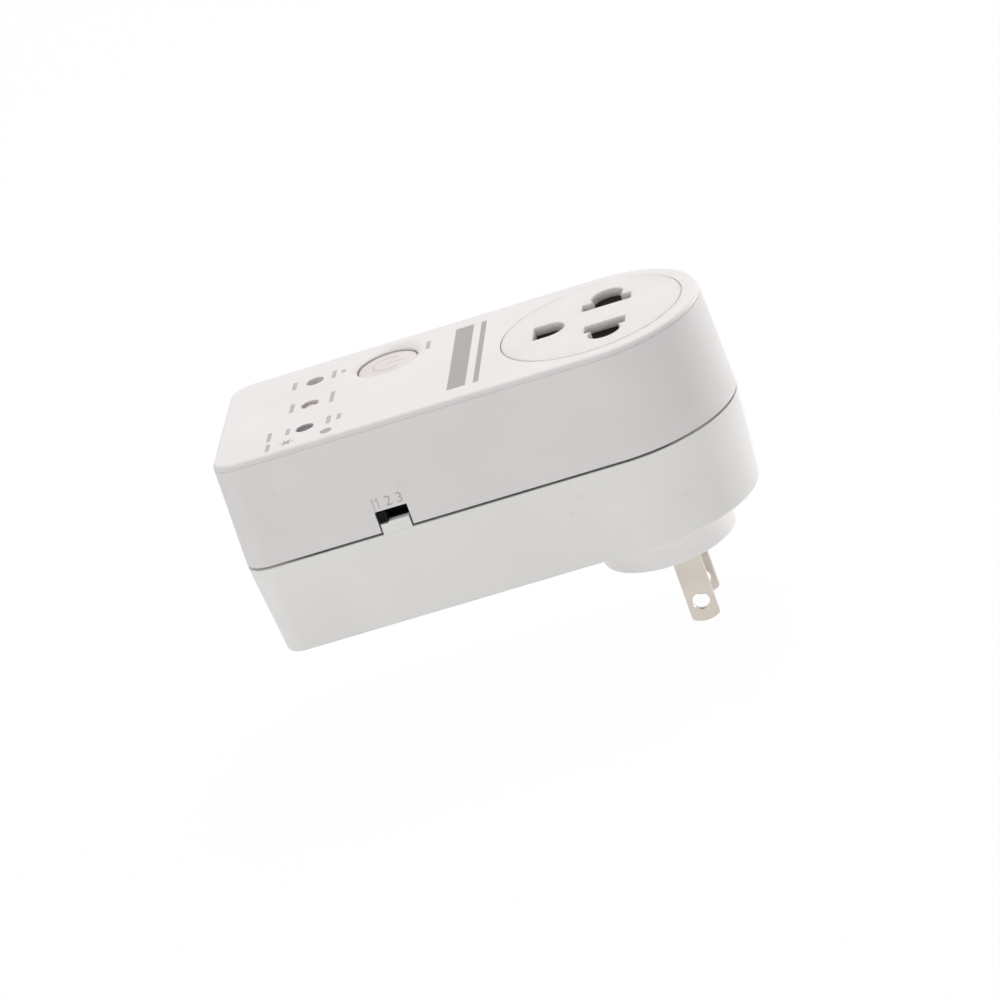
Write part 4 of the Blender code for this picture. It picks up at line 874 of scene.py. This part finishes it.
def digit(text):
    """A numeral of the standard height, centred on the origin."""
    curve = bpy.data.curves.new("digit", "FONT")
    curve.body = text
    curve.extrude = (PRINT_DEPTH + PRINT_RISE) / 2
    bm = bmesh.new()
    bm.from_mesh(baked(bpy.data.objects.new("digit", curve)))
    bmesh.ops.remove_doubles(bm, verts=bm.verts, dist=1e-7)
    spots = [v.co.copy() for v in bm.verts]
    low, high = [Vector(f(c) for c in zip(*spots)) for f in (min, max)]
    scale = DIGIT_HEIGHT / (high.y - low.y)
    centre = (low + high) / 2
    for vert in bm.verts:
        flat = (vert.co - centre) * scale
        vert.co = (flat.x, flat.y, vert.co.z - centre.z + (PRINT_RISE - PRINT_DEPTH) / 2)
    return solid(bm)


def digit_one():
    """The numeral 1 as a stem with a flag, which the plain font draws as a bare stroke."""
    side, top = DIGIT_LINE / 2, DIGIT_HEIGHT / 2
    reach, drop = FLAG
    outline = [(side, -top), (side, top), (-side, top), (-side - reach, top - drop)]
    outline += [(-side - reach, top - drop - DIGIT_LINE), (-side, top - 1.5 * DIGIT_LINE), (-side, -top)]
    return prism(outline, [(0.0, -PRINT_DEPTH), (0.0, PRINT_RISE)])


def side_marks():
    """The slider's three places, and the line that carries the window's edge on upwards."""
    shapes = [digit_one(), digit("2"), digit("3")]
    digits = [on_side(shape, x, DIGIT_Z) for shape, x in zip(shapes, DIGIT_SPOTS)]
    x, z, width, length = EDGE_LINE
    line = prism(bar_outline(0.0, length / 2, width, length), [(0.0, -PRINT_DEPTH), (0.0, PRINT_RISE)])
    piece("side_marks", joined([*digits, on_side(line, x, z)]), PALE_PRINT, "case", "print")


front_shell()
back_shell()
outlet_plate()
plug_boss()
plug_blades()
push_button()
button_symbol()
status_lamps()
switch_slider()
face_marks()
side_marks()


# Finishes of the CAD pieces that stay

STAYING = {
    "black_plastic": BLACK,
    "brass": BRASS,
    "steel": ZINC,
    "laminate": BOARD,
    "insulation": BROWN,
    "relay_case": moulded("relay case", (0.03, 0.12, 0.45), 0.38, 0.9),
    "film_case": moulded("film capacitor case", (0.80, 0.55, 0.08), 0.42, 0.9),
    "epoxy": moulded("dipped epoxy", (0.05, 0.20, 0.50), 0.45, 0.85, 1200.0, 0.00003),
    "can_sleeve": moulded("capacitor sleeve", (0.03, 0.03, 0.05), 0.35, 0.8),
    "fuse_body": moulded("fuse body", (0.25, 0.08, 0.05), 0.42, 0.85),
    "resistor_coat": moulded("resistor coat", (0.62, 0.48, 0.32), 0.5, 0.85, 1800.0, 0.00002),
    "red_wire": moulded("red insulation", (0.50, 0.03, 0.03), 0.42, 0.9),
    "black_wire": moulded("black insulation", (0.03, 0.03, 0.03), 0.42, 0.8),
    "white_wire": moulded("white insulation", (0.75, 0.74, 0.72), 0.42, 0.95),
}
OWN_FINISH = {"contact_carrier": CARRIER}
for subpart in frame["record"]["subparts"]:
    node = frame["nodes"][subpart["node"]]
    if not node.hide_render:
        node.data.materials.clear()
        plain = STAYING[subpart["material_slot"]]
        node.data.materials.append(OWN_FINISH.get(subpart["node"], plain))


# Stage

WORLD_STRENGTH = 0.38
FLOOR_Z = -0.0182
FLOOR_HALF = 4.0
FLOOR_GLOW = 0.97
KEY = ((0.20, 0.46, 1.15), (-0.03, 0.0, 0.03), 0.7, 10.2, (1.0, 0.95, 0.945))
FRONT = ((-0.35, -0.70, 1.00), (-0.03, 0.0, 0.03), 0.7, 2.0, (1.0, 0.98, 0.975))
FILL = ((-0.65, -0.90, 0.00), (-0.03, 0.0, 0.02), 0.6, 2.9, (1.0, 1.0, 0.985))
RIM = ((0.82, 0.72, 0.02), (0.0, 0.0, 0.02), 0.07, 3.6, (1.0, 1.0, 1.0))


def seen_directly(tree):
    """1 for rays from the camera, off gloss or through glass, and 0 for light that bounces."""
    path = tree.nodes.new("ShaderNodeLightPath")
    most = path.outputs["Is Camera Ray"]
    for other in ("Is Glossy Ray", "Is Transmission Ray"):
        larger = tree.nodes.new("ShaderNodeMath")
        larger.operation = "MAXIMUM"
        tree.links.new(most, larger.inputs[0])
        tree.links.new(path.outputs[other], larger.inputs[1])
        most = larger.outputs["Value"]
    return most


def make_world():
    world = bpy.data.worlds.new("studio")
    world.use_nodes = True
    tree = world.node_tree
    soft = tree.nodes["Background"]
    soft.inputs["Color"].default_value = (1.0, 1.0, 1.0, 1.0)
    soft.inputs["Strength"].default_value = WORLD_STRENGTH
    white = tree.nodes.new("ShaderNodeBackground")
    white.inputs["Color"].default_value = (1.0, 1.0, 1.0, 1.0)
    mix = tree.nodes.new("ShaderNodeMixShader")
    tree.links.new(seen_directly(tree), mix.inputs["Fac"])
    tree.links.new(soft.outputs["Background"], mix.inputs[1])
    tree.links.new(white.outputs["Background"], mix.inputs[2])
    tree.links.new(mix.outputs["Shader"], tree.nodes["World Output"].inputs["Surface"])
    bpy.context.scene.world = world


def make_floor():
    """A pale floor, white where it is seen, which keeps a faint shadow and lights nothing by itself."""
    bm = bmesh.new()
    bmesh.ops.create_grid(bm, x_segments=1, y_segments=1, size=FLOOR_HALF)
    mesh = bpy.data.meshes.new("floor")
    bm.to_mesh(mesh)
    bm.free()
    floor = bpy.data.objects.new("floor", mesh)
    floor.location.z = FLOOR_Z
    bpy.context.scene.collection.objects.link(floor)
    material, tree, shader = new_material("floor")
    shader.inputs["Base Color"].default_value = (0.95, 0.95, 0.95, 1.0)
    shader.inputs["Roughness"].default_value = 0.9
    shader.inputs["Specular IOR Level"].default_value = 0.0
    glow = tree.nodes.new("ShaderNodeEmission")
    glow.inputs["Color"].default_value = (1.0, 1.0, 1.0, 1.0)
    share = tree.nodes.new("ShaderNodeMath")
    share.operation = "MULTIPLY"
    share.inputs[1].default_value = FLOOR_GLOW
    tree.links.new(seen_directly(tree), share.inputs[0])
    mix = tree.nodes.new("ShaderNodeMixShader")
    tree.links.new(share.outputs["Value"], mix.inputs["Fac"])
    tree.links.new(shader.outputs["BSDF"], mix.inputs[1])
    tree.links.new(glow.outputs["Emission"], mix.inputs[2])
    tree.links.new(mix.outputs["Shader"], tree.nodes["Material Output"].inputs["Surface"])
    mesh.materials.append(material)


def add_softbox(name, place, aim, size, power, colour):
    light = bpy.data.lights.new(name, "AREA")
    light.shape = "SQUARE"
    light.size = size
    light.energy = power
    light.color = colour
    lamp = bpy.data.objects.new(name, light)
    lamp.location = place
    lamp.rotation_euler = (Vector(aim) - Vector(place)).to_track_quat("-Z", "Y").to_euler()
    bpy.context.scene.collection.objects.link(lamp)


def make_camera():
    data = bpy.data.cameras.new("camera")
    data.sensor_width = 36.0
    data.lens = 187.76
    data.shift_x = -0.0005
    data.shift_y = 0.0005
    data.clip_start = 0.01
    data.clip_end = 20.0
    camera = bpy.data.objects.new("camera", data)
    camera.location = (0.16152, -1.06167, 0.42224)
    camera.rotation_euler = (1.193156, 0.330633, 0.052866)
    bpy.context.scene.collection.objects.link(camera)
    bpy.context.scene.camera = camera


make_world()
make_floor()
add_softbox("key", *KEY)
add_softbox("front", *FRONT)
add_softbox("fill", *FILL)
add_softbox("rim", *RIM)
make_camera()
bpy.context.scene.view_settings.view_transform = "Standard"
